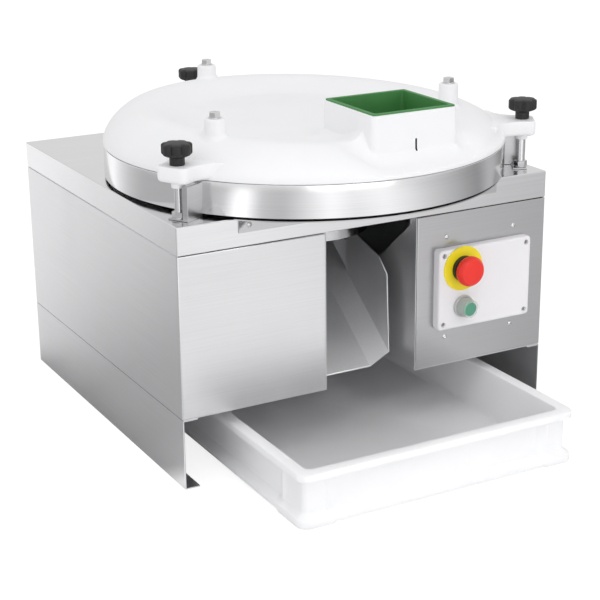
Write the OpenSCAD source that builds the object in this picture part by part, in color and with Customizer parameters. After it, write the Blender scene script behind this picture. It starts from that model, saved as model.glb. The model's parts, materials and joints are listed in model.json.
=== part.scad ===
// Dough rounder for the worktop.
// A plate turns inside a fixed steel ring. Dough drops in at the hopper, rolls along the spiral
// guide to the middle, falls through the hollow hub and slides down the chute into the tray.
// The origin is on the plate's axis at table level, +Z is up and the front faces -Y.

/* [Casing] */
// Width of the casing
body_w = 540; // [535:1:600]
// Depth of the casing
body_d = 526; // [500:1:600]
// Distance from the plate's axis to the front of the casing
front_reach = 177; // [165:1:200]
// Height of the casing's top
casing_h = 338; // [330:1:380]
// Height of the band around the top cover
band_h = 36; // [28:1:44]
// Height of the side skirts
skirt_h = 92; // [84:1:100]
// Thickness of the sheet steel
sheet = 1.5; // [1:0.1:2]
// Width of the skirts' turned-in flanges
flange_w = 18.5; // [12:0.5:30]
// Width of the front recess
recess_w = 136; // [124:1:150]
// Depth of the front recess behind the plate's axis
recess_back_y = 96; // [90:1:110]
// Depth of the folded edges of the front covers
cover_return = 20; // [12:1:30]
// Gap between the deck and the right front panel
panel_lift = 7; // [4:0.5:12]

/* [Ring and clamps] */
// Outside diameter of the steel ring
ring_d = 534; // [500:1:536]
// Height of the steel ring
ring_h = 41; // [36:1:50]
// Wall of the steel ring
ring_wall = 2; // [1.5:0.1:3]
// Gap between the casing's top and the ring
ring_gap = 4; // [3:0.5:6]
// Distance of the clamp studs outside the ring
stud_out = 23; // [21:1:27]
// Diameter of a clamp stud
stud_d = 10; // [8:1:12]
// Diameter of a clamp knob
knob_d = 39; // [32:1:44]
// Height of a clamp knob's head
knob_head_h = 17; // [12:1:22]
// Height of a clamp knob's neck
knob_neck_h = 10; // [6:1:14]

/* [Lid and hopper] */
// Wall of the white lid
lid_wall = 4; // [3:0.5:5]
// Height of the lid's upright edge
lid_edge_h = 9; // [6:1:14]
// Height of the lid's crest above the ring
crest_h = 43; // [38:1:50]
// Width of the lid's outer slope
lid_slope_w = 45; // [37:1:52]
// Width of the lid's crest
crest_w = 37; // [27:1:47]
// Depth of the dish inside the crest
dish_drop = 19; // [12:1:22]
// Width of the slope from the crest into the dish
dish_slope_w = 40; // [30:1:50]
// Thickness of the clamp lugs
lug_t = 20; // [14:1:22]
// Half the width of a clamp lug
lug_half_w = 22; // [18:1:24]
// Distance of the bosses inside the ring's edge
boss_in = 55; // [47:1:62]
// Height of the bosses' tops above the ring
boss_h = 65; // [56:1:85]
// Diameter at the top of a boss
boss_d = 24; // [18:1:28]
// Width of the square hopper mouth
hopper_w = 112; // [100:1:116]
// Sideways place of the hopper
hopper_x = 32; // [26:1:38]
// Distance of the hopper's middle inside the ring's edge
hopper_in = 104; // [99:1:107]
// Height of the hopper's rim above the ring
hopper_h = 69; // [60:1:80]
// Wall of the hopper block
hopper_wall = 5; // [4:0.5:6]
// Wall of the green hopper liner
liner_wall = 2.5; // [2:0.5:4]

/* [Plate and drive] */
// Thickness of the turning plate
plate_t = 10; // [8:1:12]
// Gap between the turning plate and the ring
plate_gap = 5; // [3:0.5:8]
// Height of the plate's underside above the casing's top
plate_lift = 8; // [7:0.5:9]
// Bore of the hollow hub that the dough drops through
hub_bore_d = 96; // [90:1:98]
// Outside diameter of the hub where the bearing sits
hub_d = 105; // [104:1:108]
// Outside diameter of the bearing
bearing_d = 160; // [150:1:160]
// Width of the bearing
bearing_w = 26; // [20:1:28]
// Outside diameter of the bearing housing, the collar over the chute
housing_d = 172; // [170:1:180]
// How far the bearing housing hangs below the casing's top
housing_drop = 78.5; // [76:0.5:84]
// Pitch diameter of the driven pulley
driven_pitch_d = 136; // [128:1:136]
// Belt ratio from the motor pulley to the driven pulley
belt_ratio = 2.5; // [2:0.1:3]
// Width of the belt
belt_w = 16; // [12:1:18]
// Thickness of the belt
belt_t = 3; // [2:0.5:3]
// Diameter of the gearmotor
motor_d = 120; // [100:1:124]
// Gap between the gearmotor and the deck
motor_air = 28; // [20:1:60]

/* [Controls] */
// Width of the white control cover
control_w = 146; // [138:1:156]
// Height of the white control cover
control_h = 110; // [100:1:120]
// How far the control cover stands proud of the panel
control_proud = 13; // [8:1:18]
// Distance of the control cover from the recess
control_in = 25.5; // [20:0.5:28]
// Share of the front panel's free height that is below the control cover
control_place_share = 0.505; // [0.3:0.005:0.7]
// Diameter of the yellow disc
disc_d = 60; // [54:1:64]
// Diameter of the red mushroom head
mushroom_d = 40; // [36:1:44]
// Travel of the emergency stop
stop_travel = 4; // [3:0.5:5]
// Diameter of the green start button
start_d = 19; // [16:1:20]
// Travel of the start button
start_travel = 3; // [2:0.5:4]

/* [Tray] */
// Width of the dough tray
tray_w = 400; // [360:1:440]
// Length of the dough tray
tray_l = 600; // [560:1:600]
// Height of the dough tray
tray_h = 70; // [60:1:78]
// How far the tray stands out in front of the casing
tray_out = 172; // [120:1:200]
// Wall of the dough tray
tray_wall = 5; // [4:0.5:7]
// Depth of the panels between the tray's rim and its base
tray_inset = 12; // [8:1:15]

/* [Hidden] */
$fn = 64;

// Full turn, clearances and cuts
full_turn_angle = 360;
over = 1;
fit_gap = 0.05;
slide_gap = 0.4;
seam = 0.8;

// Casing
half_w = body_w / 2;
inner_x = half_w - sheet;
front_y = -front_reach;
back_y = body_d - front_reach;
band_z = casing_h - band_h;
cover_z = casing_h - sheet;
deck_z = skirt_h + sheet;
recess_x = recess_w / 2;
recess_in_x = recess_x - sheet;
tongue_h = 12;
rear_lift = 20;
vent_w = 90;
vent_h = 5;
vent_pitch = 14;
vent_rows = 6;
vent_x = 105;
vent_drop = 60;
vent_z = band_z - vent_drop;
shelf_inset = 4;
shelf_r = ring_d / 2 - shelf_inset;
shelf_half = sqrt(shelf_r * shelf_r - front_reach * front_reach);
shelf_flange_h = 18.5;
shelf_flange_in = 6;
shelf_flange_x = shelf_half - shelf_flange_in;
shelf_screw_in = 20;
shelf_screw_z = casing_h - shelf_flange_h / 2;

// Small screws of the sheet panels
screw_r = 1.8;
screw_head_r = 3.6;
screw_head_h = 1.8;

// Ring and clamps
ring_r = ring_d / 2;
ring_z = casing_h + ring_gap;
ring_top = ring_z + ring_h;
stud_circle_r = ring_r + stud_out;
rear_clamp_angle = 96;
left_clamp_angle = 210;
right_clamp_angle = 330;
clamp_angles = [rear_clamp_angle, left_clamp_angle, right_clamp_angle];
stud_r = stud_d / 2;
stud_head_r = 9;
stud_head_h = 6;
nut_flats = 17;
nut_h = 8;
foot_t = 2;
foot_half_w = 11;
bracket_t = 2;
bracket_reach = 30;
bracket_side = 16;
bracket_lip = 6;
bracket_drop = 2;
bracket_top = ring_top - bracket_drop;
sleeve_r = 8;
sleeve_h = 7;
lug_lift = 2;
lug_z = ring_top + lug_lift;
lug_top = lug_z + lug_t;
lug_end = 16.5;
lug_end_r = stud_circle_r + lug_end;
lug_corner_r = 9;
knob_neck_r = 8.5;
knob_lobes = 7;
knob_lobe_r = 5.2;
knob_crown = 3;
knob_bore_depth = 20;

// Lid and hopper
lid_z = ring_top + slide_gap;
crest_z = ring_top + crest_h;
crest_out_r = ring_r - lid_slope_w;
crest_in_r = crest_out_r - crest_w;
dish_r = crest_in_r - dish_slope_w;
dish_z = crest_z - dish_drop;
lid_curve_share = 1.25;
lip_gap = 1.5;
lip_h = 6;
boss_circle_r = ring_r - boss_in;
boss_z = ring_top + boss_h;
boss_foot_r = 13.5;
boss_count = 3;
boss_angle = 96;
boss_off_x = -14;
boss_off_y = 11;
bolt_r = 4;
bolt_flats = 13;
bolt_head_h = 6;
washer_r = 8.5;
washer_t = 1.5;
hopper_y = hopper_in - ring_r;
hopper_z = ring_top + hopper_h;
hopper_foot_lift = 8;
hopper_foot_z = ring_top + hopper_foot_lift;
liner_lip = 3;
liner_lip_t = 2;
slot_w = 2.5;
slot_h = 16;
slot_drop = 40;
guide_air = 3;
guide_top_z = dish_z - lid_wall - guide_air;
guide_top_t = 4;
guide_wall = 6;
guide_edge_gap = 7;
guide_turns_share = 1.09;
guide_start = -46;
guide_step_count = 48;
guide_end_r = 60;

// Plate, hub and bearing
plate_z = casing_h + plate_lift;
plate_r = ring_r - ring_wall - plate_gap;
plate_top = plate_z + plate_t;
plate_rib_count = 12;
plate_rib_w = 6;
plate_rib_h = 1.2;
plate_screw_count = 6;
plate_screw_r = 3;
plate_screw_head_r = 6;
guide_run_gap = 3;
guide_z = plate_top + plate_rib_h + guide_run_gap;
hub_bore_r = hub_bore_d / 2;
hub_r = hub_d / 2;
hub_shoulder = 4.5;
hub_shoulder_r = hub_r + hub_shoulder;
hub_flange_r = 85;
hub_flange_t = 4.5;
hub_hole_air = 3;
hub_hole_r = hub_shoulder_r + hub_hole_air;
hub_tail = 2;
housing_r = housing_d / 2;
housing_z = casing_h - housing_drop;
housing_flange_w = 22;
housing_flange_r = housing_r + housing_flange_w;
housing_flange_t = 6;
housing_bolt_r = 3;
housing_bolt_count = 6;
housing_bolt_out = 12;
housing_bolt_circle_r = housing_r + housing_bolt_out;
housing_head_r = 6;
housing_head_h = 4;
bearing_r = bearing_d / 2;
bearing_cap = 8.5;
bearing_top = cover_z - bearing_cap;
bearing_z = bearing_top - bearing_w;
race_t_share = 0.26;
race_t = (bearing_r - hub_r) * race_t_share;
ball_count = 18;
ball_gap = 0.3;
ball_r = (bearing_r - hub_r - 2 * race_t) / 2 - ball_gap;
ball_circle_r = (bearing_r + hub_r) / 2;
housing_step = 4;
belt_lift = 20;
belt_z = housing_z + belt_lift;
pulley_flange = 2.5;
pulley_half_w = belt_w / 2 + pulley_flange + slide_gap;
driven_r = driven_pitch_d / 2;
motor_pulley_r = driven_r / belt_ratio;
pulley_lip = 3.5;
window_in = 12;
window_half = housing_r - window_in;
window_y = 20;

// Motor
motor_plate_t = 4;
motor_plate_w = 160;
motor_plate_d = 150;
motor_plate_air = 3;
motor_plate_z = belt_z - pulley_half_w - motor_plate_air - motor_plate_t;
motor_y = (housing_r + back_y - sheet) / 2;
motor_l = motor_plate_z - deck_z - motor_air;
post_r = 6;
post_in = 14;
motor_shaft_r = 9;
gearbox_h_share = 0.4;
gearbox_h = motor_l * gearbox_h_share;
motor_fin_t = 2.5;
motor_fin_count = 7;
motor_fin_depth = 5;
motor_bolt_r = 3;
motor_bolt_count = 4;
motor_bolt_angle = 45;
motor_bolt_in = 12;
motor_bolt_circle_r = motor_d / 2 - motor_bolt_in;

// Recess and chute
wall_notch_y = -housing_r;
wall_notch_drop = 33;
wall_notch_z = housing_z - wall_notch_drop;
chute_front_in = 32;
chute_front_y = front_y + chute_front_in;
chute_lift = 5;
chute_low_z = skirt_h + chute_lift;
chute_back_out = 12;
chute_back_y = hub_bore_r + chute_back_out;
chute_back_drop = 9;
chute_back_z = housing_z - chute_back_drop;
chute_slope = (chute_back_z - chute_low_z) / (chute_back_y - chute_front_y);
chute_side_in = 16.5;
chute_side_x = recess_in_x - chute_side_in;
chute_fold_w = 33;
chute_fold_x = chute_side_x - chute_fold_w;
chute_fold_in = 8;
chute_fold_y = chute_front_y + chute_fold_in;
chute_fold_rise = 6;
chute_lip_h = 119;
chute_lip_z = chute_low_z + chute_lip_h;
chute_step_in = 34;
chute_step_y = chute_front_y + chute_step_in;
chute_step_h = 138;
chute_step_z = chute_low_z + chute_step_h;
chute_end_y = -25;

// Controls
panel_z = skirt_h + panel_lift;
control_x = recess_x + control_in;
panel_room = band_z - panel_z - control_h;
control_z = panel_z + panel_room * control_place_share;
control_y = front_y - control_proud;
control_round = 4;
control_wall = 3;
control_screw_in = 8;
control_screw_r = 2;
control_screw_head_r = 3.2;
control_screw_depth = 3;
enclosure_in = 6;
enclosure_depth = 78;
enclosure_flange_t = 3;
enclosure_edge = 10;
panel_screw_left = 19;
panel_screw_right = 21;
panel_screw_x = [panel_screw_left, control_w - panel_screw_right];
panel_screw_out_share = 0.15;
panel_screw_out = panel_room * panel_screw_out_share;
enclosure_flange_h = panel_screw_out + enclosure_edge;
stop_in = 37;
stop_lift = 82;
stop_x = control_x + stop_in;
stop_z = control_z + stop_lift;
start_in = 38.5;
start_lift = 30;
start_x = control_x + start_in;
start_z = control_z + start_lift;
disc_t = 1.5;
collar_r = 14;
collar_h = 11.5;
stem_r = 6;
stem_l = 60;
mushroom_h = 16;
mushroom_gap = 7.5;
mushroom_cap = 5;
stop_hole_r = 11;
bezel_r = 15;
bezel_h = 4;
boot_r = 13.5;
boot_h = 15;
boot_wall = 1.2;
start_h = boot_h - boot_wall - 2 * slide_gap - start_travel;
start_stem_r = 4;
start_stem_l = 45;
start_hole_r = 8;
block_w = 26;
block_l = 28;

// Cable gland in the deck
gland_in = 35;
gland_back_in = 49;
gland_x = half_w - gland_in;
gland_y = back_y - gland_back_in;
gland_r = 10;
gland_flats = 24;
gland_l = 22;
gland_nut_h = 6;
gland_bore_r = 5;

// Tray
tray_front_y = front_y - tray_out;
tray_corner_r = 14;
tray_post = 36;
tray_post_in = 9;
tray_rim_h = 12;
tray_base_h = 11;
tray_floor = 5;
tray_foot_h = 3;

// Box between two opposite corners
module slab(lo, hi) {
  translate(lo) cube(hi - lo);
}

// Plate given by its outline in the Y and Z directions, between two X places
module side_plate(x0, x1, outline) {
  translate([x0, 0, 0]) rotate([90, 0, 90]) linear_extrude(x1 - x0) polygon(outline);
}

// Cylinder along Y, from the front place to the rear place
module y_rod(r, x, z, y0, y1) {
  translate([x, y0, z]) rotate([-90, 0, 0]) cylinder(r = r, h = y1 - y0);
}

// Upright cylinder between two heights
module z_rod(r, z0, z1) {
  translate([0, 0, z0]) cylinder(r = r, h = z1 - z0);
}

// Hexagon prism given by its width across flats
module hex(flats, h) {
  cylinder(d = flats / cos(30), h = h, $fn = 6);
}

// Rectangle with round corners, centred on the origin
module round_rect(w, d, r) {
  square([w - 2 * r, d], center = true);
  square([w, d - 2 * r], center = true);
  for (sx = [-1, 1]) {
    for (sy = [-1, 1]) translate([sx * (w / 2 - r), sy * (d / 2 - r)]) circle(r = r);
  }
}

// Copies around the plate's axis
module around(count, radius, turn = 0) {
  for (i = [0 : count - 1]) rotate(turn + i * full_turn_angle / count) translate([radius, 0, 0]) children();
}

// Copies at the three clamps
module at_clamps(radius) {
  for (turn = clamp_angles) rotate(turn) translate([radius, 0, 0]) children();
}

// Copies at the lid's bosses, whose circle lies off the plate's axis
module at_bosses() {
  translate([boss_off_x, boss_off_y, 0]) around(boss_count, boss_circle_r, boss_angle) children();
}

// Ring between two radii
module tube(r_out, r_in, z0, z1) {
  translate([0, 0, z0]) difference() {
    cylinder(r = r_out, h = z1 - z0);
    translate([0, 0, -over]) cylinder(r = r_in, h = z1 - z0 + 2 * over);
  }
}

// Thin flat sheet through four corners, thick to one side
module fold_sheet(corners, thick) {
  normal = cross(corners[1] - corners[0], corners[3] - corners[0]);
  shift = normal / norm(normal) * thick;
  far = [for (c = corners) c + shift];
  polyhedron(points = concat(corners, far),
    faces = [[0, 1, 2, 3], [7, 6, 5, 4], [1, 0, 4, 5], [2, 1, 5, 6], [3, 2, 6, 7], [0, 3, 7, 4]]);
}

// Casing sheets
module skirt() {
  slab([-half_w, front_y, 0], [-inner_x, back_y, skirt_h]);
  for (z = [0, skirt_h - sheet]) {
    slab([-inner_x, front_y, z], [-inner_x + flange_w, back_y - sheet, z + sheet]);
  }
}

module left_skirt() {
  color("silver") skirt();
}

module right_skirt() {
  color("silver") mirror([1, 0, 0]) skirt();
}

module rear_skirt() {
  color("silver") slab([-inner_x, back_y - sheet, rear_lift], [inner_x, back_y, skirt_h]);
}

module base_deck() {
  color("silver") difference() {
    slab([-inner_x, front_y + sheet, skirt_h], [inner_x, back_y - sheet, deck_z]);
    slab([-recess_x, front_y, skirt_h - over], [recess_x, recess_back_y + sheet, deck_z + over]);
    translate([gland_x, gland_y, skirt_h - over]) cylinder(r = gland_r + fit_gap, h = sheet + 2 * over);
  }
}

module side_panel() {
  slab([-half_w, front_y + sheet, skirt_h + seam], [-inner_x, back_y, band_z - seam]);
  slab([-inner_x, front_y + sheet, band_z - tongue_h],
    [-inner_x + sheet, back_y - sheet, band_z + tongue_h]);
}

module left_side_panel() {
  color("silver") side_panel();
}

module right_side_panel() {
  color("silver") mirror([1, 0, 0]) side_panel();
}

module vent_slot() {
  rotate([-90, 0, 0]) translate([0, 0, -over]) {
    translate([-vent_w / 2, -vent_h / 2, 0]) cube([vent_w, vent_h, sheet + 2 * over]);
    for (s = [-1, 1]) translate([s * vent_w / 2, 0, 0]) cylinder(d = vent_h, h = sheet + 2 * over);
  }
}

module back_panel() {
  tongue_x = inner_x - sheet;
  color("silver") {
    difference() {
      slab([-inner_x, back_y - sheet, skirt_h + seam], [inner_x, back_y, band_z - seam]);
      for (s = [-1, 1]) {
        for (i = [0 : vent_rows - 1]) {
          translate([s * vent_x, back_y - sheet, vent_z - i * vent_pitch]) vent_slot();
        }
      }
    }
    slab([-tongue_x, back_y - 2 * sheet, band_z - tongue_h], [tongue_x, back_y - sheet, band_z + tongue_h]);
  }
}

module top_cover() {
  color("silver") difference() {
    slab([-half_w, front_y, band_z], [half_w, back_y, casing_h]);
    slab([-inner_x, front_y + sheet, band_z - over], [inner_x, back_y - sheet, cover_z]);
    translate([0, 0, band_z]) cylinder(r = hub_hole_r, h = band_h + over);
    at_clamps(stud_circle_r) {
      translate([0, 0, band_z]) cylinder(r = stud_r + fit_gap, h = band_h + over);
    }
    around(housing_bolt_count, housing_bolt_circle_r) {
      translate([0, 0, band_z]) cylinder(r = housing_bolt_r + fit_gap, h = band_h + over);
    }
    shelf_screw_holes();
  }
}

module shelf_screw_holes() {
  for (s = [-1, 1]) {
    x = s * (shelf_half - shelf_screw_in);
    y_rod(screw_r + fit_gap, x, shelf_screw_z, front_y - sheet - over, front_y + sheet + over);
  }
}

module drum_shelf() {
  color("silver") difference() {
    union() {
      intersection() {
        translate([0, 0, cover_z]) cylinder(r = shelf_r, h = sheet, $fn = 128);
        slab([-ring_r, -ring_r, cover_z - over], [ring_r, front_y, casing_h + over]);
      }
      slab([-shelf_flange_x, front_y - sheet, casing_h - shelf_flange_h],
        [shelf_flange_x, front_y, cover_z]);
    }
    shelf_screw_holes();
  }
}

// Folded pan that closes one side of the front
module front_pan(x0, x1, z0, z1) {
  slab([x0, front_y, z0], [x1, front_y + sheet, z1]);
  low = max(z0, deck_z + seam);
  side = inner_x - sheet - fit_gap;
  in0 = max(x0, -side);
  in1 = min(x1, side);
  difference() {
    slab([in0, front_y + sheet, low], [in1, front_y + cover_return, z1]);
    slab([in0 + sheet, front_y, low + sheet], [in1 - sheet, front_y + cover_return + over, z1 - sheet]);
  }
}

module left_front_cover() {
  color("silver") front_pan(-half_w, -recess_x, skirt_h + seam, band_z - seam);
}

module panel_screw_places() {
  for (x = panel_screw_x) {
    for (z = [-panel_screw_out, control_h + panel_screw_out]) {
      translate([control_x + x, 0, control_z + z]) children();
    }
  }
}

module right_front_panel() {
  x0 = control_x + enclosure_in - slide_gap;
  x1 = control_x + control_w - enclosure_in + slide_gap;
  z0 = control_z + enclosure_in - slide_gap;
  z1 = control_z + control_h - enclosure_in + slide_gap;
  color("silver") difference() {
    front_pan(recess_x, half_w, panel_z, band_z - seam);
    slab([x0, front_y - over, z0], [x1, front_y + sheet + over, z1]);
    panel_screw_places() y_rod(screw_r + fit_gap, 0, 0, front_y - over, front_y + sheet + over);
  }
}

// Pan-head screw whose head sits on a face at the given Y, pointing into the casing
module panel_screw(y, length) {
  y_rod(screw_head_r, 0, 0, y - screw_head_h, y);
  y_rod(screw_r, 0, 0, y, y + length);
}

module panel_screws() {
  color("gainsboro") {
    panel_screw_places() panel_screw(front_y, sheet + enclosure_flange_t);
    for (s = [-1, 1]) {
      x = s * (shelf_half - shelf_screw_in);
      translate([x, 0, shelf_screw_z]) panel_screw(front_y - sheet, 2 * sheet);
    }
  }
}

module recess_wall() {
  side_plate(recess_in_x, recess_x, [
    [front_y + sheet, skirt_h],
    [recess_back_y, skirt_h],
    [recess_back_y, wall_notch_z],
    [wall_notch_y, wall_notch_z],
    [front_y + sheet, band_z - seam]]);
}

module recess_right_wall() {
  color("gray") recess_wall();
}

module recess_left_wall() {
  color("gray") mirror([1, 0, 0]) recess_wall();
}

module recess_back_wall() {
  color("gray") slab([-recess_x, recess_back_y, skirt_h], [recess_x, recess_back_y + sheet, chute_back_z]);
}

// Height of the chute's floor at a place along Y
function chute_floor(y) = chute_low_z + chute_slope * (y - chute_front_y);

// Corner of the slanted strip between the chute's floor and its side
function chute_corner(x, y) = [x, y, chute_floor(y) + chute_fold_rise * (x - chute_fold_x) / chute_fold_w];

module drop_chute() {
  side_out_x = chute_side_x + sheet;
  side_low = chute_corner(chute_side_x, chute_fold_y)[2];
  side_back = chute_corner(chute_side_x, chute_end_y)[2];
  color("silver") {
    side_plate(-recess_in_x, chute_fold_x + fit_gap, [
      [chute_front_y, chute_low_z],
      [chute_back_y, chute_back_z],
      [recess_back_y + sheet, chute_back_z],
      [recess_back_y + sheet, chute_back_z + sheet],
      [chute_back_y, chute_back_z + sheet],
      [chute_front_y, chute_low_z + sheet]]);
    fold_sheet([
      chute_corner(chute_fold_x, chute_front_y),
      chute_corner(side_out_x, chute_fold_y),
      chute_corner(side_out_x, chute_back_y),
      chute_corner(chute_fold_x, chute_back_y)], sheet);
    side_plate(chute_side_x, side_out_x, [
      [chute_fold_y, side_low],
      [chute_fold_y + chute_fold_rise, chute_lip_z],
      [chute_step_y, chute_step_z],
      [chute_end_y, housing_z - over],
      [chute_end_y, side_back]]);
  }
}

// Ring and clamps
module drum_ring() {
  color("silver") tube(ring_r, ring_r - ring_wall, ring_z, ring_top, $fn = 128);
}

// Angle plate from the ring's side, with a foot under the stud's nut
module ring_bracket() {
  reach0 = ring_r * cos(asin(bracket_side / ring_r)) + fit_gap;
  reach1 = ring_r + bracket_reach;
  foot0 = stud_circle_r - foot_half_w;
  difference() {
    union() {
      slab([reach0, bracket_side, casing_h], [reach1, bracket_side + bracket_t, bracket_top]);
      slab([reach1 - bracket_t, bracket_side - bracket_lip, casing_h], [reach1, bracket_side, bracket_top]);
      slab([foot0, -foot_half_w, casing_h], [reach1, bracket_side, casing_h + foot_t]);
    }
    translate([stud_circle_r, 0, casing_h - over]) cylinder(r = stud_r + fit_gap, h = foot_t + 2 * over);
  }
}

module ring_brackets() {
  color("silver") at_clamps(0) ring_bracket();
}

module clamp_studs() {
  color("gainsboro") at_clamps(stud_circle_r) {
    translate([0, 0, cover_z - stud_head_h]) cylinder(r = stud_head_r, h = stud_head_h);
    translate([0, 0, cover_z]) cylinder(r = stud_r, h = lug_top + knob_bore_depth - over - cover_z);
  }
}

module stud_nuts() {
  color("gainsboro") at_clamps(stud_circle_r) {
    translate([0, 0, casing_h + foot_t]) difference() {
      hex(nut_flats, nut_h);
      translate([0, 0, -over]) cylinder(r = stud_r + fit_gap, h = nut_h + 2 * over);
    }
  }
}

module stud_sleeves() {
  color("white") at_clamps(stud_circle_r) {
    tube(sleeve_r, stud_r + fit_gap, lug_z - slide_gap - sleeve_h, lug_z - slide_gap);
  }
}

module knob() {
  lobe_circle_r = knob_d / 2 - knob_lobe_r;
  head_z = lug_top + slide_gap + knob_neck_h;
  flat_h = knob_head_h - knob_crown;
  color("dimgray") difference() {
    union() {
      translate([0, 0, lug_top + slide_gap]) cylinder(r = knob_neck_r, h = knob_neck_h);
      translate([0, 0, head_z]) {
        linear_extrude(flat_h) {
          circle(r = lobe_circle_r);
          around(knob_lobes, lobe_circle_r) circle(r = knob_lobe_r);
        }
        translate([0, 0, flat_h]) cylinder(r1 = lobe_circle_r - over, r2 = knob_neck_r, h = knob_crown);
      }
    }
    translate([0, 0, lug_top]) cylinder(r = stud_r + slide_gap, h = knob_bore_depth);
  }
}

module knob_rear() {
  rotate(rear_clamp_angle) translate([stud_circle_r, 0, 0]) knob();
}

module knob_front_left() {
  rotate(left_clamp_angle) translate([stud_circle_r, 0, 0]) knob();
}

module knob_front_right() {
  rotate(right_clamp_angle) translate([stud_circle_r, 0, 0]) knob();
}

// Lid: half section of the shell, set in from the outer surface
function shell_half(inset) = concat(
  [[ring_r - inset, lid_z]],
  [for (a = [0 : 15 : 90]) [
    crest_out_r + (ring_r - inset - crest_out_r) * pow(cos(a), lid_curve_share),
    ring_top + lid_edge_h + (crest_h - lid_edge_h - inset) * pow(sin(a), lid_curve_share)]],
  [for (s = [0 : 0.2 : 1]) [
    crest_in_r - (crest_in_r - dish_r) * s,
    crest_z - inset - dish_drop * (1 - cos(180 * s)) / 2]],
  [[0, dish_z - inset]]);

module shell_solid(inset) {
  rotate_extrude($fn = 128) polygon(concat(shell_half(inset), [[0, lid_z]]));
}

module boss_post() {
  translate([0, 0, guide_top_z]) cylinder(r1 = boss_foot_r, r2 = boss_d / 2, h = boss_z - guide_top_z);
}

module hopper_column(width, z0, z1) {
  half = width / 2;
  slab([hopper_x - half, hopper_y - half, z0], [hopper_x + half, hopper_y + half, z1]);
}

// Lug: a tongue with round corners that runs in under the crest
module lug() {
  tongue_l = lug_end_r - crest_out_r;
  translate([crest_out_r + tongue_l / 2, 0, lug_z]) linear_extrude(lug_t) {
    round_rect(tongue_l, 2 * lug_half_w, lug_corner_r);
  }
}

module lid() {
  column_w = hopper_w + 2 * hopper_wall;
  lip_r = ring_r - ring_wall - lip_gap;
  slot_z = hopper_z - slot_drop - slot_h;
  color("white") difference() {
    union() {
      difference() {
        union() {
          shell_solid(0);
          at_clamps(0) lug();
        }
        translate([0, 0, -over]) shell_solid(lid_wall);
        tube(ring_r + over, ring_r - lid_wall, lid_z - over, lid_z);
      }
      tube(lip_r, lip_r - lid_wall, ring_top - lip_h, ring_top + lid_edge_h, $fn = 128);
      at_bosses() boss_post();
      hopper_column(column_w, hopper_foot_z, hopper_z);
    }
    hopper_column(hopper_w, hopper_foot_z - over, hopper_z + over);
    at_bosses() {
      z_rod(bolt_r + fit_gap, guide_top_z - over, boss_z + over);
    }
    at_clamps(stud_circle_r) {
      translate([0, 0, lug_z - over]) cylinder(r = stud_r + over, h = lug_t + 2 * over);
    }
    slab([hopper_x - slot_w / 2, hopper_y - column_w / 2 - over, slot_z],
      [hopper_x + slot_w / 2, hopper_y - hopper_w / 2 + over, slot_z + slot_h]);
  }
}

module hopper_liner() {
  liner_out = hopper_w - 2 * fit_gap;
  rim_w = hopper_w + 2 * liner_lip;
  color("seagreen") difference() {
    union() {
      hopper_column(liner_out, hopper_foot_z, hopper_z);
      hopper_column(rim_w, hopper_z, hopper_z + liner_lip_t);
    }
    hopper_column(liner_out - 2 * liner_wall, hopper_foot_z - over, hopper_z + liner_lip_t + over);
  }
}

// Spiral wall: radius falls evenly from the ring to the middle
guide_start_r = ring_r - ring_wall - guide_edge_gap - guide_wall;
function guide_r(i) = guide_start_r - (guide_start_r - guide_end_r) * i / guide_step_count;
function guide_a(i) = guide_start + full_turn_angle * guide_turns_share * i / guide_step_count;
function guide_point(i, out) = (guide_r(i) + out) * [cos(guide_a(i)), sin(guide_a(i))];

module spiral_guide() {
  outer = [for (i = [0 : guide_step_count]) guide_point(i, guide_wall)];
  inner = [for (i = [guide_step_count : -1 : 0]) guide_point(i, 0)];
  cut_w = hopper_w + 2 * hopper_wall + 2 * over;
  color("white") difference() {
    union() {
      translate([0, 0, guide_z]) linear_extrude(guide_top_z - guide_z) polygon(concat(outer, inner));
      translate([0, 0, guide_top_z - guide_top_t]) cylinder(r = guide_start_r, h = guide_top_t, $fn = 128);
    }
    hopper_column(cut_w, hopper_foot_z - over, guide_top_z + over);
    at_bosses() {
      z_rod(bolt_r + fit_gap, guide_z - over, guide_top_z + over);
    }
  }
}

module guide_bolts() {
  color("gainsboro") at_bosses() {
    z_rod(bolt_r, guide_top_z - guide_top_t, boss_z);
    z_rod(washer_r, boss_z, boss_z + washer_t);
    translate([0, 0, boss_z + washer_t]) hex(bolt_flats, bolt_head_h);
  }
}

// Plate, hub and bearing
module plate_screw_places() {
  half_step = full_turn_angle / plate_screw_count / 2;
  around(plate_screw_count, (hub_shoulder_r + hub_flange_r) / 2, half_step) children();
}

module rotor_plate() {
  rib_in = hub_flange_r + plate_rib_w;
  color("lightgray") difference() {
    union() {
      translate([0, 0, plate_z]) cylinder(r = plate_r, h = plate_t, $fn = 128);
      around(plate_rib_count, 0) {
        slab([rib_in, -plate_rib_w / 2, plate_top],
          [plate_r - plate_rib_w, plate_rib_w / 2, plate_top + plate_rib_h]);
      }
    }
    translate([0, 0, plate_z - over]) cylinder(r = hub_bore_r, h = plate_t + 2 * over);
    plate_screw_places() {
      z_rod(plate_screw_r + fit_gap, plate_z - over, plate_top + over);
      z_rod(plate_screw_head_r + fit_gap, plate_top - plate_screw_head_r, plate_top + over);
    }
  }
}

module plate_screws() {
  color("gainsboro") plate_screw_places() {
    z_rod(plate_screw_r, plate_z - hub_flange_t, plate_top - plate_screw_head_r);
    z_rod(plate_screw_head_r, plate_top - plate_screw_head_r, plate_top);
  }
}

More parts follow.
